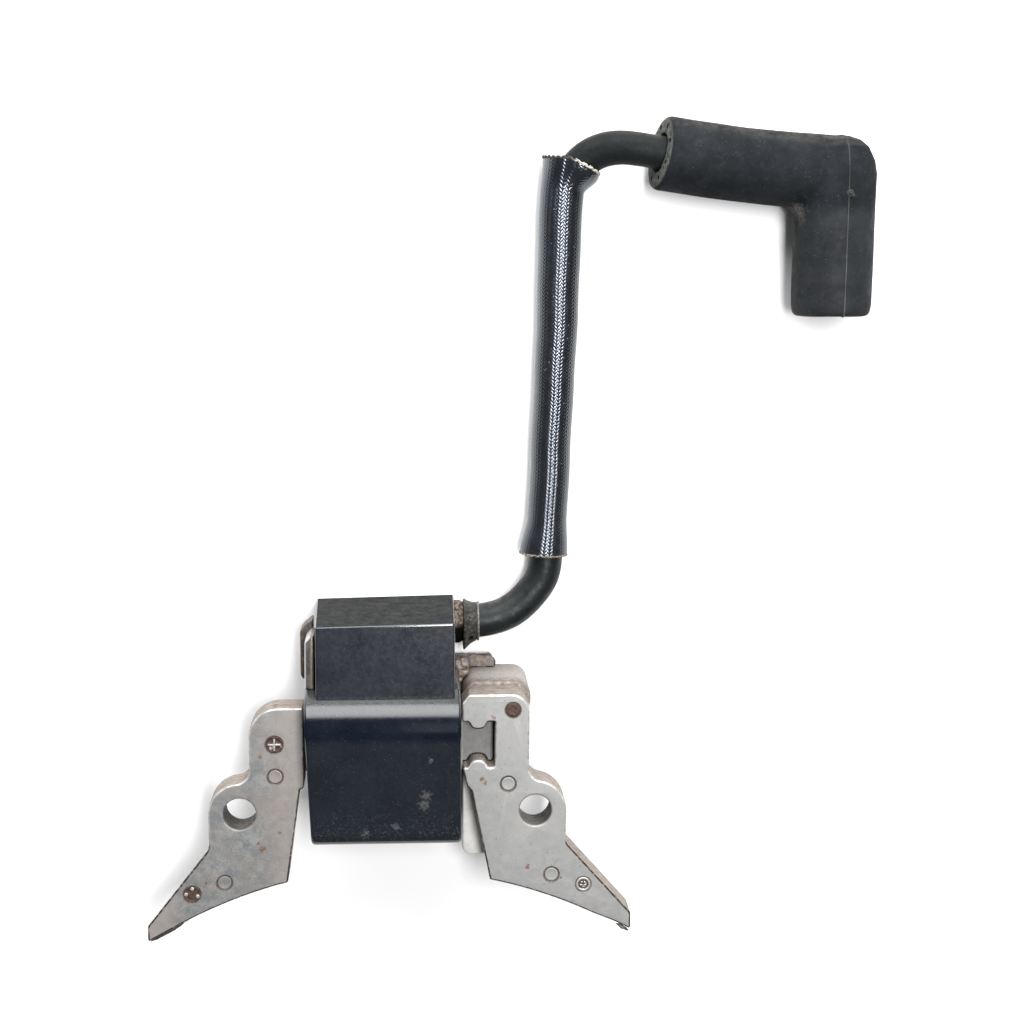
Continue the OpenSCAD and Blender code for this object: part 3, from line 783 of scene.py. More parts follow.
def lead_radius(s, a):
    """The jacket is a little uneven, and pinched where the sleeve's ends bear on it."""
    p = lead_path[min(len(lead_path) - 1, int(s * (len(lead_path) - 1) + 0.5))]
    slim = 0.17 * ease((s - 0.72) / 0.1)
    return LEAD_R - slim + 0.05 * noise.noise(
        Vector((p.x * 0.25 + math.cos(a), p.y * 0.25 + math.sin(a), 3))
    )


def make_lead():
    bm = tube(bmesh.new(), lead_path, lead_radius, 48)
    return piece("ht_lead_jacket", bm, [JACKET], "coil", ["ht_lead"])


lead = make_lead()

# ---- braided sleeve --------------------------------------------------------------------------

SLEEVE_A = Vector(LEAD_ROUTE[7])
SLEEVE_B = Vector(LEAD_ROUTE[11])
SLEEVE_DIR = (SLEEVE_B - SLEEVE_A).normalized()
SLEEVE_START = SLEEVE_A + 3.3 * SLEEVE_DIR
SLEEVE_LONG = 81.2
SLEEVE_SIDE = SLEEVE_DIR.cross(Vector((0, 0, 1))).normalized()
STRANDS = 36
STRAND_PITCH = 0.74
SLEEVE_R = 4.02
STRAND_WAVE = 0.046
STRAND_SLANT = 0.707
STRAND_SECTION = [(0.27, 0), (0.17, 0.034), (0, 0.052), (-0.17, 0.034), (-0.27, 0), (0, -0.03)]


def on_sleeve(angle, along, r):
    """A point of the sleeve: angle 0 faces +X, 90 degrees faces up, along is in mm from its lower end."""
    c, s = math.cos(angle), math.sin(angle)
    side, up = r * c, r * s
    low = ease(1 - along / 8.0)
    side += low * (-1.0 * max(0, -c) + 0.75 * max(0, c)) - 0.25 * low
    up += low * 0.25 * s
    drift = ease((along - 25) / 50)
    side -= drift * (0.55 + 0.45 * max(0, -c) ** 0.5 - 0.15 * max(0, c))
    high = ease((along - (SLEEVE_LONG - 6.5)) / 6.5)
    side += high * (2.8 * max(0, c) ** 1.3 + 0.3 * max(0, s))
    up += high * (1.2 * max(0, s) + 3.0 * max(0, c) * max(0, s))
    droop = ease((along - (SLEEVE_LONG - 9)) / 9) * 2.9 * max(0, c) ** 1.2
    wave = 0.08 * math.sin(along * 0.16) + 0.05 * math.sin(along * 0.41 + 1)
    return SLEEVE_START + SLEEVE_DIR * (along - droop) + SLEEVE_SIDE * (side + wave) + Vector((0, 0, up))


def strand(bm, k, way, step=0.30):
    """One flat strand; it goes over two crossing strands and under two."""
    rings = []
    n = int(SLEEVE_LONG / step)
    turns = way * 2 * math.pi / STRANDS / STRAND_PITCH
    for i in range(n + 1):
        y = SLEEVE_LONG * i / n
        a = 2 * math.pi * k / STRANDS + turns * y
        cross = 2 * y / STRAND_PITCH
        h = STRAND_WAVE * math.cos(math.pi / 2 * (2 * k + way * cross - 0.5)) * way
        ring = []
        for across, above in STRAND_SECTION:
            da = across * STRAND_SLANT / SLEEVE_R
            place = max(0, min(SLEEVE_LONG, y - way * across * STRAND_SLANT))
            ring.append(bm.verts.new(on_sleeve(a + da, place, SLEEVE_R + h + above)))
        rings.append(ring)
    join_rings(bm, rings)
    bm.faces.new(list(reversed(rings[0])))
    bm.faces.new(rings[-1])


def make_sleeve():
    bm = bmesh.new()
    for k in range(STRANDS):
        strand(bm, k, 1)
        strand(bm, k, -1)
    lining = [(0.15 + (SLEEVE_LONG - 0.3) * i / 82, SLEEVE_R - 0.2) for i in range(83)]
    lining += [(y, SLEEVE_R - 0.32) for y, r in reversed(lining)]
    rings = [ring_of(bm, 40, lambda a: on_sleeve(a, y, r)) for y, r in lining]
    join_rings(bm, rings + rings[:1])
    return piece("sleeve_braid", bm, [BRAID], None, ["lead_sleeve"], sharp=80)


def make_fray(name, along, teeth, amount):
    """The cut end of the braid: a scalloped line of loose fibres."""
    bm = bmesh.new()
    for layer in range(2):
        path = []
        for i in range(teeth * 8):
            a = 2 * math.pi * i / (teeth * 8)
            d = amount * (abs(math.cos(teeth * a / 2 + layer * 0.9)) - 0.6) * (1 if along < 10 else -1)
            d += 0.1 * noise.noise(Vector((i * 0.31, layer * 9.1, along)))
            path.append(on_sleeve(a, along, SLEEVE_R + 0.02 + 0.07 * layer) + SLEEVE_DIR * d)
        tube(bm, path, 0.1 if along < 10 else 0.15, 6, closed=True)
    for i in range(teeth * 2):
        a = 2 * math.pi * (i + rng.random()) / (teeth * 2)
        base = on_sleeve(a, along, SLEEVE_R)
        out = 1 if along > 10 else -1
        lean = Vector((rng.uniform(-0.3, 0.3), out * rng.uniform(0.2, 0.55), rng.uniform(-0.2, 0.25)))
        tube(
            bm, [base - lean * 0.4, base + lean * 0.3, base + lean * 0.8 + Vector((0.05, 0, 0.05))],
            lambda s, a: 0.05 * (1.1 - s), 5
        )
    return piece(name, bm, [FRAY], None, sharp=80)


sleeve = make_sleeve()
fray_low = make_fray("sleeve_fray_low", 0.0, 24, 0.34)
fray_top = make_fray("sleeve_fray_top", SLEEVE_LONG, 26, 0.45)
for part in (sleeve, fray_low, fray_top):
    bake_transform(part)

# ---- plug cap --------------------------------------------------------------------------------

ELBOW = Vector((90.6, 128.53, -6.3))
ARM_DIR = Vector((-0.995725, 0.092371, 0))
ARM_LONG = 36.3
ARM_R = 7.35
PLUG_LONG = 28.5
DOWN = Vector((0, -1, 0))
SEAM_X = 91.5
GATE = Vector((91.8, 124.5, 1.75))


def cap_bend(co):
    """The lead arm sags between the elbow and its mouth, and its mouth is turned upwards a little."""
    s = (co - ELBOW).dot(ARM_DIR) / ARM_LONG
    if s > 0:
        shear = 0.35 + 0.17 * (co.z - ELBOW.z) + 0.085 * (co.y - ELBOW.y - 3.2 * s)
        co = co - ARM_DIR * (shear * ease((s - 0.55) / 0.45))
        co.y += 0.5 * s - 0.5 * math.sin(math.pi * min(1.0, s))
    return co


def make_cap():
    """The cap's two arms with their bores, the web in its corner, dents round its mouth and its seam."""
    arm_rim = [(ARM_R, 35.5), (6.9, 36.2), (6.2, ARM_LONG), (0, ARM_LONG)]
    arm = [(0, -1), (7.5, -1), (7.5, 4), (7.42, 16)] + arm_rim
    dome = [(0, -7.6), (2.5, -7.4), (4.8, -6.65), (6.5, -5.2), (7.75, -2.6), (8.2, 0)]
    plug = dome + [(8.2, 10), (8.1, 26.4), (7.8, 27.9), (7.2, PLUG_LONG), (0, PLUG_LONG)]
    socket = [(0, -3.2), (4.6, -3), (4.6, 10.5), (5.3, 10.6), (5.3, 27.4), (6.0, 29.5), (0, 29.5)]
    bore = [(0, 3), (1.3, 3), (1.3, 10.2), (3.62, 10.3), (3.62, 34.8), (4.3, 38), (0, 38)]
    web_rows = [(-10, 0.3, 0), (-9.6, 0, 0), (-3.0, 0, 0), (-2.6, 0.3, 0)]
    web = plate(bmesh.new(), [(80.4, 122.9), (83.0, 119.4), (86, 123)], [], web_rows)
    cap = lathe(bmesh.new(), ELBOW, ARM_DIR, arm, 64)
    cap = combine(cap, lathe(bmesh.new(), ELBOW, DOWN, plug, 64), "UNION")
    cap = combine(cap, web, "UNION")
    cap = combine(cap, lathe(bmesh.new(), ELBOW, DOWN, socket, 48), "DIFFERENCE")
    cap = combine(cap, lathe(bmesh.new(), ELBOW, ARM_DIR, bore, 40), "DIFFERENCE")
    cap = remesh(cap, 0.3, 3)
    dent = [(0, -0.62), (0.3, -0.5), (0.5, -0.2), (0.55, 0.1), (0.55, 0.6), (0, 0.6)]
    dents = bmesh.new()
    side = ARM_DIR.cross(Vector((0, 0, 1)))
    for i in range(8):
        a = math.radians(20 + 45 * i)
        out = math.cos(a) * side + math.sin(a) * Vector((0, 0, 1))
        at = ELBOW + ARM_DIR * (ARM_LONG + 0.12) + 5.5 * out
        lathe(dents, at, ARM_DIR, dent, 14)
    cap = combine(cap, dents, "DIFFERENCE")
    seam = parting_line(cap)
    bmesh.ops.recalc_face_normals(cap, faces=cap.faces)
    lumps(cap, 0.10, 0.16)
    for bm in (cap, seam):
        for v in bm.verts:
            v.co = cap_bend(v.co)
    body = piece("cap_body", cap, [RUBBER], "cap", ["plug_cap"], sharp=55)
    line = piece("cap_parting_line", seam, [FLASH], "cap", sharp=80)
    return body, line


def parting_line(cap):
    """A thin raised line where the mould split, and the nub left by the gate."""
    cut = cap.copy()
    everything = cut.verts[:] + cut.edges[:] + cut.faces[:]
    made = bmesh.ops.bisect_plane(cut, geom=everything, plane_co=(SEAM_X, 0, 0), plane_no=(1, 0, 0))
    edges = [e for e in made["geom_cut"] if isinstance(e, bmesh.types.BMEdge)]
    links = {}
    for e in edges:
        for a, b in ((e.verts[0], e.verts[1]), (e.verts[1], e.verts[0])):
            links.setdefault(a, []).append(b)
    best = []
    left = set(links)
    while left:
        start = min(left, key=lambda v: v.co.y)
        chain, here, before = [start], start, None
        left.discard(start)
        while True:
            ahead = [v for v in links[here] if v is not before and v in left]
            if not ahead:
                break
            before, here = here, ahead[0]
            left.discard(here)
            chain.append(here)
        if max(v.co.y for v in chain) > max([v.y for v in best], default=-1e9):
            best = [v.co.copy() for v in chain]
    cut.free()
    out = bmesh.new()
    tube(out, best[::2], lambda s, a: 0.13 + 0.03 * math.sin(90 * s), 6)
    lathe(
        out, GATE, (0.1, 0.0, 1),
        [(0, -0.6), (0.75, -0.5), (0.8, 0.0), (0.62, 0.28), (0.35, 0.18), (0.3, 0.42), (0, 0.5)], 16
    )
    lathe(
        out, GATE + Vector((0.55, -0.45, 0)), (0.1, 0.2, 1),
        [(0, -0.6), (0.4, -0.3), (0.42, 0.1), (0.2, 0.3), (0, 0.34)], 12
    )
    return out


cap_parts = make_cap()

# ---- legs ------------------------------------------------------------------------------------

HOLE_X = 30.0
HOLE_R = 3.3
STACK_T = 7.2
SHEET_T = 0.5
RING_R = 1.46
LEFT_RIVET_R = 1.72
RIGHT_RIVET_R = 1.5
BOSS_R = 6.3
POLE_R = 94.0
POLE_Y = -14.7 - math.sqrt(POLE_R**2 - 20.7**2)
BAR_TOP = 3.0
BAR_BACK = -4.2
LEFT_RIVETS = [(-22.8, 14.5), (-39.9, -16.2)]
RIGHT_RIVETS = [(25.3, 21.2), (40, -16)]
LEFT_RINGS = [(-22.7, 7.8), (-33.3, -14.1)]
RIGHT_RINGS = [(24.4, 5.7), (33.4, -13.8)]
SLOT_TOP, SLOT_FOOT = 18.8, 9.2
SLOT = [
    (15.05, SLOT_TOP, 0.5), (16.3, SLOT_TOP, 0.6), (17.1, 17.3, 1.45), (19.4, 17.3, 1.45),
    (20.2, SLOT_TOP, 0.6), (21.7, SLOT_TOP, 0.3), (21.7, SLOT_FOOT, 0.8), (20.3, SLOT_FOOT, 0.6),
    (19.4, 10.75, 1.45), (17.1, 10.75, 1.45), (16.2, SLOT_FOOT, 0.6), (15.2, SLOT_FOOT, 0.4),
]


def pole_y(x):
    """Height of the pole arc at x."""
    return POLE_Y + math.sqrt(POLE_R**2 - x * x)


def leg_outline(edge_x, top, r, heel_x, tip, shin_y, inner, lift=0.0):
    """A leg drawn for the right-hand side: pole arc, tip, boss, fillet, upper lobe, then its inner edge.

    The pole arc is raised by lift near the tip."""
    fillet = 3.0
    cx = edge_x + fillet
    cy = math.sqrt((BOSS_R + fillet) ** 2 - (cx - HOLE_X) ** 2)
    touch = math.degrees(math.atan2(cy, cx - HOLE_X))

    def on_pole(x):
        return x, pole_y(x) + lift * ease((x - 41) / 8.5)

    points = [(*on_pole(heel_x), 0.5)]
    points += [on_pole(heel_x + (tip[0] - heel_x) * i / 22) for i in range(1, 22)]
    points += [(*on_pole(tip[0]), 0.4), (*tip, 0.9), (HOLE_X + BOSS_R, shin_y, 2.5)]
    points += arc(HOLE_X, 0, BOSS_R, 2, touch, 20) + arc(cx, cy, fillet, 172 + touch, 180, 9)
    points += arc(edge_x - r, top - r, r, 0, 90, 12) + inner
    return soften(points)


def mirrored(points):
    return [(-p[0],) + tuple(p[1:]) for p in points]


LEFT_INNER = [(17, 22, 0.35), (17, 5.4, 0.5), (17.9, 4.9, 0.3)]
LEFT_OUTLINE = mirrored(leg_outline(27.9, 22, 6, 20.5, (48.7, -22.6), -7, LEFT_INNER))
RIGHT_INNER = [(16.4, 24.45, 0.5), (15.05, 22.75, 0.5)] + SLOT + [(16.0, 5.4, 1.0), (17.0, 4.2, 1.0)]
RIGHT_OUTLINE = leg_outline(28.6, 24.45, 3.6, 20.75, (49.9, -22.4), -7, RIGHT_INNER, 0.7)


def sheet_plate(bm, outline, holes, z0, z1, roll, walls=None):
    """One sheet; roll is the size of the rolled rim on the side that faces out, above if positive."""
    r = abs(roll)
    t = 0.03
    if r == 0:
        steps = [(z0 + 0.012, 0.035, 1), (z0 + 0.05, 0, 1), (z1 - 0.05, 0, 1), (z1 - 0.012, 0.035, 1)]
    elif roll > 0:
        steps = [
            (z0 + 0.012, t, 1), (z0 + 0.05, 0, 1), (z1 - 0.2, 0, 2), (z1 - 0.1, 0.06, 2),
            (z1 - 0.035, 0.16, 2), (z1 - 0.006, 0.25, 2), (z1, r, 2)
        ]
    else:
        steps = [
            (z0, r, 2), (z0 + 0.006, 0.25, 2), (z0 + 0.035, 0.16, 2), (z0 + 0.1, 0.06, 2), (z0 + 0.2, 0, 1),
            (z1 - 0.05, 0, 1), (z1 - 0.012, t, 1)
        ]
    return plate(bm, outline, holes, steps, walls=walls)


def interlock(bm, x, y, face, way):
    """The round dimple that locks the sheets together, with the groove round it."""
    lathe(bm, (x, y, face), (0, 0, way), [
        (0, -0.06), (0.6, -0.055), (1.05, -0.04), (1.22, -0.02), (1.32, -0.04), (1.4, -0.14), (1.45, -0.3),
        (1.48, -0.45)
    ], 40)


def make_leg(name, outline, stacked, slotted, rings, rivets, rivet_r, tip_shadow):
    """A leg's outer sheets and the pack between them.

    slotted is the outline of the sheets that hold the bar, and the last argument the span and side of the
    dark curl that paints the shadow under its tip."""
    hole = circle(math.copysign(HOLE_X, outline[0][0]), 0, HOLE_R, 56)
    plugs = [circle(x, y, RING_R, 40) for x, y in rings]
    nests = [circle(x, y, rivet_r - 0.06, 40) for x, y in rivets]
    quiet = {1: 0, **{k: 3 for k in range(2, 2 + len(rings) + len(rivets))}}
    holes = [hole] + plugs + nests
    front = sheet_plate(bmesh.new(), outline, holes, STACK_T - SHEET_T, STACK_T, 0.34, quiet)
    rear = sheet_plate(bmesh.new(), slotted, holes, 0, SHEET_T, -0.3, quiet)
    for x, y in rings:
        interlock(front, x, y, STACK_T, 1)
        interlock(rear, x, y, 0.0, -1)
    looks = [SHEET, EDGE, RIM, GROOVE]
    piece(name + "_front", bend_tip(front), looks, "coil", [name + "_front_sheet"])
    piece(name + "_rear", bend_tip(rear), looks, "coil", [name + "_rear_sheet"])
    middle = bmesh.new()
    count = 12
    for i in range(count):
        z0, z1 = [SHEET_T + (STACK_T - 2 * SHEET_T) * k / count for k in (i, i + 1)]
        dx, dy = rng.uniform(-0.04, 0.04), rng.uniform(-0.04, 0.04)
        loop = slotted if z1 < BAR_TOP + 0.06 else stacked
        moved = [(x + dx, y + dy) for x, y in loop]
        sheet_plate(middle, moved, [[(x + dx, y + dy) for x, y in hole]], z0, z1, 0, {1: 2})
    # painted shadow: a dark curl under the tip stands for the shadow there
    make_tip_shadow(middle, *tip_shadow)
    # BORE on the middle sheets' hole walls and the tip curls is painted shade
    looks = [EDGE, EDGE, BORE]
    piece(name + "_stack", bend_tip(middle), looks, "coil", [name + "_laminations"])


LEFT_REAR_TIP = (48, -23.2)
LEFT_STACK = mirrored(leg_outline(27.9, 22, 6, 20.5, LEFT_REAR_TIP, -8.3, LEFT_INNER))


def left_slot_outline():
    """The left leg with the bar's slot, as the sheets behind the front ones have it."""
    slot = [(min(x, 20.9), y, r) for x, y, r in SLOT if x > 15.5]
    slot = [(17, SLOT_TOP, 0.3)] + [p for p in slot if p[0] > 17.05] + [(17, SLOT_FOOT, 0.3)]
    inner = LEFT_INNER[:1] + slot + LEFT_INNER[1:]
    return mirrored(leg_outline(27.9, 22, 6, 20.5, LEFT_REAR_TIP, -8.3, inner))


def bend_tip(bm):
    """The left leg's tip is bent a little down and out."""
    for v in bm.verts:
        if v.co.x < -22:
            far = (-22 - v.co.x) / 27
            v.co.y -= 1.05 * far ** 1.1 * ease(-v.co.y / 14)
            v.co.x -= 0.35 * ease((far - 0.8) / 0.2)
    return bm


def make_tip_shadow(bm, x0, x1, side):
    """A dark curl along the pole edge near a tip, a painted shadow standing where the shadow falls under
    the tip.
    """
    below = 0.5 if side < 0 else 0.1
    path = []
    for i in range(25):
        x = x0 + (x1 - x0) * i / 24
        y = pole_y(x) - below - 0.2 * abs(noise.noise(Vector((x * 0.9, side, 2))))
        path.append(Vector((side * x, y, 6.0 + 0.2 * noise.noise(Vector((x * 0.7, side, 7))))))

    def thick(s, a):
        rough = 0.85 + 0.2 * noise.noise(Vector((s * 5, math.cos(a), math.sin(a))))
        return 0.05 + 0.42 * math.sin(math.pi * min(1.0, s * 1.15)) ** 0.7 * rough

    tube(bm, path, thick, 7, mat=2)


make_leg(
    "left_leg", LEFT_OUTLINE, LEFT_STACK, left_slot_outline(), LEFT_RINGS, LEFT_RIVETS, LEFT_RIVET_R,
    (48.4, 40.8, -1)
)
make_leg(
    "right_leg", RIGHT_OUTLINE, RIGHT_OUTLINE, RIGHT_OUTLINE, RIGHT_RINGS, RIGHT_RIVETS, RIGHT_RIVET_R,
    (49.7, 46.6, 1)
)


def rivet_marks(kind, x, y):
    """(how far the head is punched down, how worn bright it is) at a place on a rivet's head."""
    r = math.hypot(x, y)
    if kind == "cross":
        arm = min(abs(x), abs(y))
        quarter = ease((arm - 0.12) / 0.3) * ease((1.5 - r) / 0.35)
        bright = 0.95 * ease((0.3 - arm) / 0.2) * ease((1.4 - r) / 0.4)
        bright = max(bright, 0.9 * ease((0.55 - math.hypot(x + 0.55, y + 0.5)) / 0.25))
        bright = max(bright, 0.8 * ease((0.35 - math.hypot(x - 1.25, y + 0.3)) / 0.2))
        return 0.3 * quarter, bright
    if kind == "spots":
        places = ((0.05, 1.12), (-1.15, 0.05), (1.05, -0.45))
        bright = max(ease((0.48 - math.hypot(x - a, y - b)) / 0.2) for a, b in places)
        return 0.22 * (1 - bright) * ease((1.5 - r) / 0.3), 0.95 * bright
    if kind == "ring":
        groove = math.exp(-(((r - 0.95) / 0.2) ** 2))
        dot = ease((0.6 + 0.25 * math.sin(5 * math.atan2(y, x)) - math.hypot(x + 0.1, y - 0.1)) / 0.3)
        return 0.25 * groove + 0.15 * dot, 0.95 - 0.9 * groove - 0.8 * dot
    return 0.1 * ease((1.2 - r) / 0.6), 0.05


HEAD_R = 1.61


def make_rivets(name, places, kinds, back, size):
    """Rivets whose front heads are drawn HEAD_R in radius and scaled to size.

    back is how far they stand out behind."""
    bm = bmesh.new()
    wear = bm.verts.layers.float.new("wear")
    radii = [0.0, 0.2, 0.4, 0.6, 0.8, 0.95, 1.1, 1.25, 1.4, 1.48, 1.54, 1.58, HEAD_R]
    grow = size / HEAD_R
    for (cx, cy), kind in zip(places, kinds):
        rings = []
        for r in radii:
            ring = []
            for k in range(1 if r == 0 else 48):
                a = 2 * math.pi * k / 48
                x, y = r * math.cos(a), r * math.sin(a)
                down, bright = rivet_marks(kind, x, y)
                dome = 0.15 * (1 - (r / HEAD_R) ** 5)
                v = bm.verts.new((cx + x * grow, cy + y * grow, STACK_T - 0.02 + dome - down))
                v[wear] = bright
                ring.append(v)
            rings.append(ring)
        shank = [(1.63, 6.9), (1.6, 6.85), (1.6, 0.4), (1.62, 0.35), (1.62, 0.1 - back), (1.5, -back)]
        for r, z in [(r * grow, z) for r, z in shank]:
            rings.append(ring_of(bm, 48, lambda a: (cx + r * math.cos(a), cy + r * math.sin(a), z)))
        rings.append([bm.verts.new((cx, cy, -back - 0.02))])
        join_rings(bm, rings)
    piece(name + "_heads", bend_tip(bm), [RIVET], "coil", [name])


make_rivets("left_leg_rivets", LEFT_RIVETS, ["cross", "spots"], 0.13, LEFT_RIVET_R)
make_rivets("right_leg_rivets", RIGHT_RIVETS, ["plain", "ring"], 0.0, RIGHT_RIVET_R)

# ---- bar core --------------------------------------------------------------------------------


def make_bar():
    """The iron bar through the coil, a stack of sheets with a notched end that fits each leg's slot."""
    low, high = SLOT_FOOT + 0.12, SLOT_TOP - 0.12
    right = [
        (15, low), (16.1, low, 0.5), (16.95, 10.9, 1.4), (19.55, 10.9, 1.4), (20.45, low, 0.5),
        (21.5, low, 0.7), (21.5, high, 0.4), (20.4, high, 0.5), (19.55, 17.15, 1.4), (16.95, 17.15, 1.4),
        (16.1, high, 0.5), (15, high),
    ]
    left = [(-min(p[0], 20.75),) + tuple(p[1:]) for p in reversed(right)]
    outline = soften(right + left)
    bm = bmesh.new()
    count = 14
    for i in range(count):
        a, b = [BAR_BACK + (BAR_TOP - BAR_BACK) * k / count for k in (i, i + 1)]
        dy = rng.uniform(-0.03, 0.03)
        roll = 0.22 if i == count - 1 else 0
        sheet_plate(bm, [(x, y + dy) for x, y in outline], [], a, b, roll)
    piece("bar_core_stack", bm, [BAR, EDGE, RIM], "coil", ["bar_core"])


make_bar()

# ---- case ------------------------------------------------------------------------------------

EXIT_Y, EXIT_Z = 35.6, -9.4
BARREL_FOOT, BARREL_TOP = -4.5, 26.2
CASE_WALL = 1.4


def barrel_loop(m):
    """Section of the barrel in y and z, shrunk by m; its far shoulder is the big round one."""
    loop = [(BARREL_FOOT + m, FLOOR)] + arc(BARREL_FOOT + 2.8, 12.6, 2.8 - m, 180, 92, 8)
    loop += arc(BARREL_TOP - 7.6, 8.8, 7.4 - m, 90, 12, 18)
    return loop + [(BARREL_TOP - m, 8.8), (BARREL_TOP - m, FLOOR)]


def barrel(x0, x1, m, r):
    """The barrel from x0 to x1, shrunk by m, its ends rolled by r."""
    return plate(bmesh.new(), barrel_loop(m), [], rounded_rows(x0, x1, r, 4), lambda u, v, w: (w, u, v))


def upper_box(m, top, r, low=20.0):
    """The tall box of the case, shrunk by m on every side; its outline is in x and z."""
    loop = soften(
        [(-15 + m, FLOOR), (13.8 - m, FLOOR), (13.4 - m, 12.4 - m, 0.5), (-14.1 + m, 12.4 - m, 0.5)], 4
    )
    rows = [(low, 0, 0), (top, 0, 0)]
    if r:
        rows[1:] = [(top - h, d, 0) for h, d in reversed(quarter_round(r, 3))]
    return plate(bmesh.new(), loop, [], rows, lambda u, v, w: (u, w, v))


def extend_back(bm, by):
    """Carries the back of a cutter past the case's open back."""
    for v in bm.verts:
        if v.co.z < FLOOR + 0.01:
            v.co.z -= by
    return bm


def make_case():
    """The hollow case: barrel, box and the tower for the lead, tapered a little after cutting."""
    case = combine(barrel(-16.5, 14.6, 0, 0.7), upper_box(0, 40.1, 0.4), "UNION")
    tower = [(0, 0), (4.3, 0), (4.3, 2.4), (4.05, 2.75), (3.9, 3.1), (0, 3.1)]
    tower = lathe(bmesh.new(), (12.5, EXIT_Y, EXIT_Z), (1, 0, 0), tower, 48)
    case = combine(case, tower, "UNION")
    inner = extend_back(barrel(-16.5 + CASE_WALL, 14.6 - CASE_WALL, CASE_WALL, 0), 2)
    inner = combine(inner, extend_back(upper_box(CASE_WALL, 40.1 - CASE_WALL, 0), 2), "UNION")
    case = combine(case, inner, "DIFFERENCE")
    way = lathe(bmesh.new(), (13.0, EXIT_Y, EXIT_Z), (1, 0, 0), [(0, 0), (3.55, 0), (3.55, 4), (0, 4)], 40)
    case = combine(case, way, "DIFFERENCE")
    case = combine(case, block((-20, 7.98, -5.42), (20, 20.02, 4.22)), "DIFFERENCE")
    for v in case.verts:
        v.co.x += 1.35 * ease((-v.co.x - 8) / 6) * max(0.0, min(1.0, (25 - v.co.y) / 29.5))
        v.co.y += 0.35 * (v.co.x + 2) / 15 * ease((v.co.y - 30) / 8)

    def on_shoulder(n):
        return abs(n.x) < 0.3 and n.z > 0.15 and n.y > 0.02

    piece(
        "coil_case_shell", case, [CASE], "coil", ["coil_case"],
        sharp=28, flat_over=1.5, curved=on_shoulder
    )


make_case()

# ---- left-hand terminal and its guard --------------------------------------------------------


def make_terminal():
    """The grey guard on the case's left side and the steel tab in front of it."""
    outline = soften([
        (-14.95, 26.3), (-17.3, 26.3, 0.3), (-17.75, 27.2, 0.6), (-17.75, 36.2, 1.2),
        (-16.8, 37.5, 1.2), (-15.4, 38.55, 0.2), (-15.2, 38.5, 0.1), (-15.2, 34),
    ])
    rows = [(-4.6, 0.15, 0), (-4.4, 0, 0), (0.1, 0, 0), (0.32, 0.08, 0), (0.4, 0.25, 0)]
    guard = plate(bmesh.new(), outline, [], rows)
    piece("guard", lumps(guard, 0.03, 1.2), [GUARD], "coil", ["terminal_guard"])
    outline = [(-14.62, 26.2), (-16.5, 26.2, 0.2), (-16.4, 35.9, 0.9), (-15.2, 37.1, 0.4), (-14.62, 37.2)]
    rows = [(0.5, 0.1, 0), (0.6, 0, 0), (8.05, 0, 0), (8.3, 0.05, 0), (8.43, 0.14, 0), (8.5, 0.3, 0)]
    tab = plate(bmesh.new(), soften(outline), [], rows)
    piece("kill_tab", tab, [TAB], "coil", ["kill_terminal"])


make_terminal()

# ---- lead boss, collar, bridge and igniter block ---------------------------------------------


def hoops(bm, n, rows):
    """A closed ring round the lead's exit, from (x, radius, y of the middle) rows of its section."""
    rings = [
        ring_of(bm, n, lambda a: (x, cy + r * math.cos(a), EXIT_Z + r * math.sin(a))) for x, r, cy in rows
    ]
    join_rings(bm, rings + rings[:1])


def make_boss():
    """The flared seal, its small moulding hole, and the thin collar round its mouth."""
    bm = bmesh.new()
    rows = [
        (15.66, 5.05, 35.25), (15.72, 5.25, 35.25), (15.9, 5.36, 35.25), (16.05, 5.3, 35.26),
        (16.15, 5.15, 35.3), (16.4, 4.95, 35.35), (16.8, 4.68, 35.45), (17.3, 4.4, 35.58),
        (17.8, 4.18, 35.7), (18.3, 4.03, 35.82), (18.44, 3.95, 35.85), (18.46, 3.6, 35.86),
        (17.5, 3.52, 35.85), (15.66, 3.52, 35.7),
    ]
    hoops(bm, 56, rows)
    hole = [(0, -2.2), (0.5, -2.2), (0.55, 0), (0.6, 2), (0, 2)]
    hole = lathe(bmesh.new(), (17.35, 33.0, -5.3), (0.2, -0.25, 1), hole, 20)
    bmesh.ops.recalc_face_normals(bm, faces=bm.faces)
    bm = combine(bm, hole, "DIFFERENCE")
    piece("boss", lumps(bm, 0.07, 0.9, 4), [SEAL], "coil", ["lead_boss"], sharp=50)
    ring = bmesh.new()
    section = [(18.52, 3.62), (18.52, 4.0), (18.62, 4.12), (18.85, 4.14), (18.98, 4.05), (19.0, 3.62)]
    hoops(ring, 48, [(x, r, 35.93) for x, r in section])
    lumps(ring, 0.05, 1.4, 2)
    piece("collar_ring", ring, [COLLAR], "coil", ["lead_collar"], sharp=60)


make_boss()

BLOCK_LEFT, BLOCK_TOP, BLOCK_R = 15.3, 25.2, 3.2
CORNER_X, CORNER_Y = BLOCK_LEFT + BLOCK_R, BLOCK_TOP - BLOCK_R


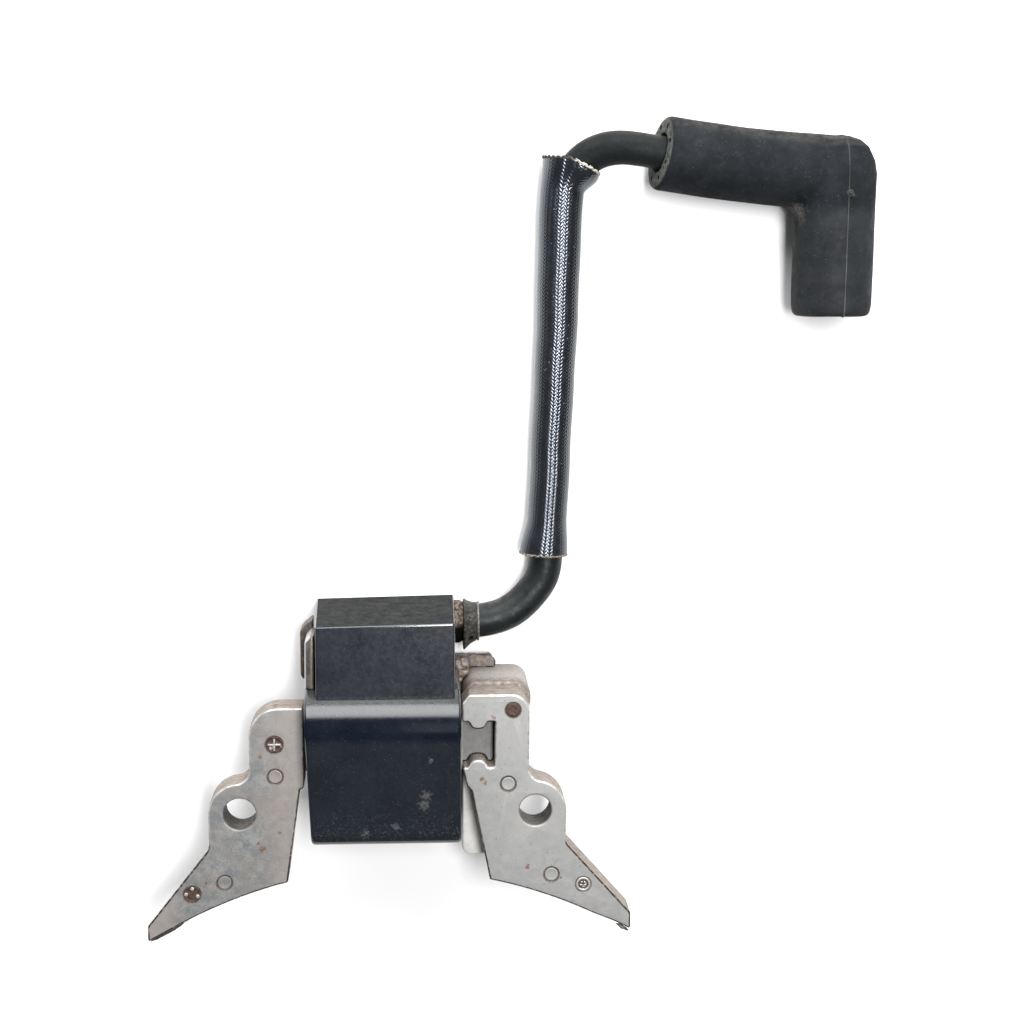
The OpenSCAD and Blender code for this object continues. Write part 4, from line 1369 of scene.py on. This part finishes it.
def make_bridge():
    """Resin run over the wires, lumpy and pitted, that keeps clear of the block's rounded corner."""
    bm = block((13.86, 20.6, FLOOR + 0.35), (15.25, 27.85, FLOOR + 6.4), 0.3)
    shelf = [
        (14.9, 25.3), (22.55, 25.3), (22.55, 26.6, 0.3), (21.4, 27.85, 0.5), (14.0, 27.85, 0.3),
        (14.0, 25.3),
    ]
    shelf_rows = [(0.35, 0.2), (0.6, 0), (4.2, 0), (4.45, 0.2)]
    plate(bm, soften(shelf), [], [(FLOOR + h, d, 0) for h, d in shelf_rows])
    fill = [(14.6, 20.6), (15.2, 20.6), (15.2, 22.2)] + arc(CORNER_X, CORNER_Y, 3.42, 176, 118, 8)
    fill += [(17.0, 25.9), (14.6, 25.9)]
    fill_rows = [(0.35, 0.1), (0.6, 0), (7.6, 0), (7.9, 0.15)]
    plate(bm, fill, [], [(FLOOR + h, d, 0) for h, d in fill_rows])
    bm = remesh(bm, 0.28, 2)
    lumps(bm, 0.22, 0.8, 3)
    lumps(bm, 0.18, 2.0, 5)
    clear = BLOCK_R + 0.04
    for v in bm.verts:
        if v.co.x > 17.2:
            v.co.z = min(v.co.z, FLOOR + 2.7)
        if v.co.y < 25.25 and v.co.x < 19:
            near = Vector((max(0.0, CORNER_X - v.co.x), max(0.0, v.co.y - CORNER_Y), 0))
            if 0.5 < near.length < clear:
                near *= clear / near.length
                v.co.x = CORNER_X - near.x
                if v.co.y > CORNER_Y:
                    v.co.y = CORNER_Y + near.y
        v.co.z = max(FLOOR + 0.2, v.co.z)
        v.co.x = max(13.83, v.co.x)
    piece("bridge", bm, [BRIDGE], "coil", ["wire_bridge"], sharp=80)


make_bridge()


def igniter_loop(m):
    """Outline of the block shrunk by m: a narrow foot, then a wider head with round top corners."""
    left, right, foot_right = BLOCK_LEFT + m, 29.4 - m, 22.9 - m
    bottom, top, step = -11.9 + m, BLOCK_TOP - m, 9.8 + m
    r, f = BLOCK_R - m, 1.6 - m
    loop = arc(left + f, bottom + f, f, 180, 270, 6) + arc(foot_right - f, bottom + f, f, 270, 360, 6)
    loop += [(foot_right, step)] + arc(right - f, step + f, f, 270, 360, 6)
    return loop + arc(right - r, top - r, r, 0, 90, 10) + arc(left + r, top - r, r, 90, 180, 10)


def make_igniter():
    """The hollow block, cut away for the bar and the wires."""
    rows = [
        (FLOOR, 0.25, 0), (FLOOR + 0.25, 0, 0), (-0.75, 0, 0), (-0.45, 0.04, 0), (-0.2, 0.16, 0),
        (-0.08, 0.3, 0), (-0.05, 0.5, 0)
    ]
    body = plate(bmesh.new(), igniter_loop(0), [], rows)
    cavity = plate(bmesh.new(), igniter_loop(1.2), [], [(FLOOR - 1, 0, 0), (-6.05, 0, 0)])
    body = combine(body, cavity, "DIFFERENCE")
    body = combine(body, block((10, 8.6, -4.5), (22.3, 19.4, 5.5)), "DIFFERENCE")
    body = combine(body, block((10, 21, FLOOR - 1), (17.2, 24.2, FLOOR + 3)), "DIFFERENCE")
    piece(
        "igniter_case", body, [IGNITER], "coil", ["igniter_housing"], sharp=28,
        flat_over=1.5
    )


make_igniter()

# ---- CAD pieces that show as they are --------------------------------------------------------

KEPT = {
    "case_potting": POTTING, "primary_bobbin": BOBBIN, "secondary_bobbin": BOBBIN,
    "primary_winding": COPPER, "secondary_winding": COPPER, "kill_lead": COPPER,
    "primary_leads": TARNISHED, "ht_terminal": BRASS, "plug_terminal": BRASS,
    "cap_contact_screw": SPRING, "plug_spring_clip": SPRING, "igniter_board": CERAMIC,
    "igniter_transistor": CHIP, "igniter_potting": GREY_POTTING,
}
for name, look in KEPT.items():
    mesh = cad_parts[name].data
    mesh.materials.clear()
    mesh.materials.append(look)

# ---- floor and light -------------------------------------------------------------------------


def make_floor():
    bm = bmesh.new()
    bmesh.ops.create_grid(bm, x_segments=1, y_segments=1, size=2.5)
    me = bpy.data.meshes.new("floor")
    bm.to_mesh(me)
    bm.free()
    k = Look("floor", specular=0.2)
    k.base = k.mix(k.noise(0.02, 2), (0.76, 0.76, 0.76), (0.74, 0.74, 0.74))
    me.materials.append(k.done(0.8))
    floor = bpy.data.objects.new("floor", me)
    floor.location.z = (FLOOR - 0.02) * MM
    scene.collection.objects.link(floor)


def area_light(name, at, aim, size, size_y, power):
    data = bpy.data.lights.new(name, "AREA")
    data.shape, data.size, data.size_y, data.energy = "RECTANGLE", size, size_y, power
    ob = bpy.data.objects.new(name, data)
    scene.collection.objects.link(ob)
    ob.location = at
    ob.rotation_mode = "QUATERNION"
    ob.rotation_quaternion = (Vector(aim) - Vector(at)).to_track_quat("-Z", "Y")


make_floor()
world = bpy.data.worlds.new("studio")
world.use_nodes = True
world.node_tree.nodes["Background"].inputs["Color"].default_value = (1, 1, 1, 1)
world.node_tree.nodes["Background"].inputs["Strength"].default_value = 0.2
scene.world = world
area_light("overhead", (0.118, 0.13, 0.62), (0.118, 0.15, 0), 0.13, 0.32, 5.4)
area_light("far_side", (0.0, 0.66, 0.31), (0.0, 0.03, 0), 1.1, 0.56, 16)
scene.view_settings.view_transform = "Standard"
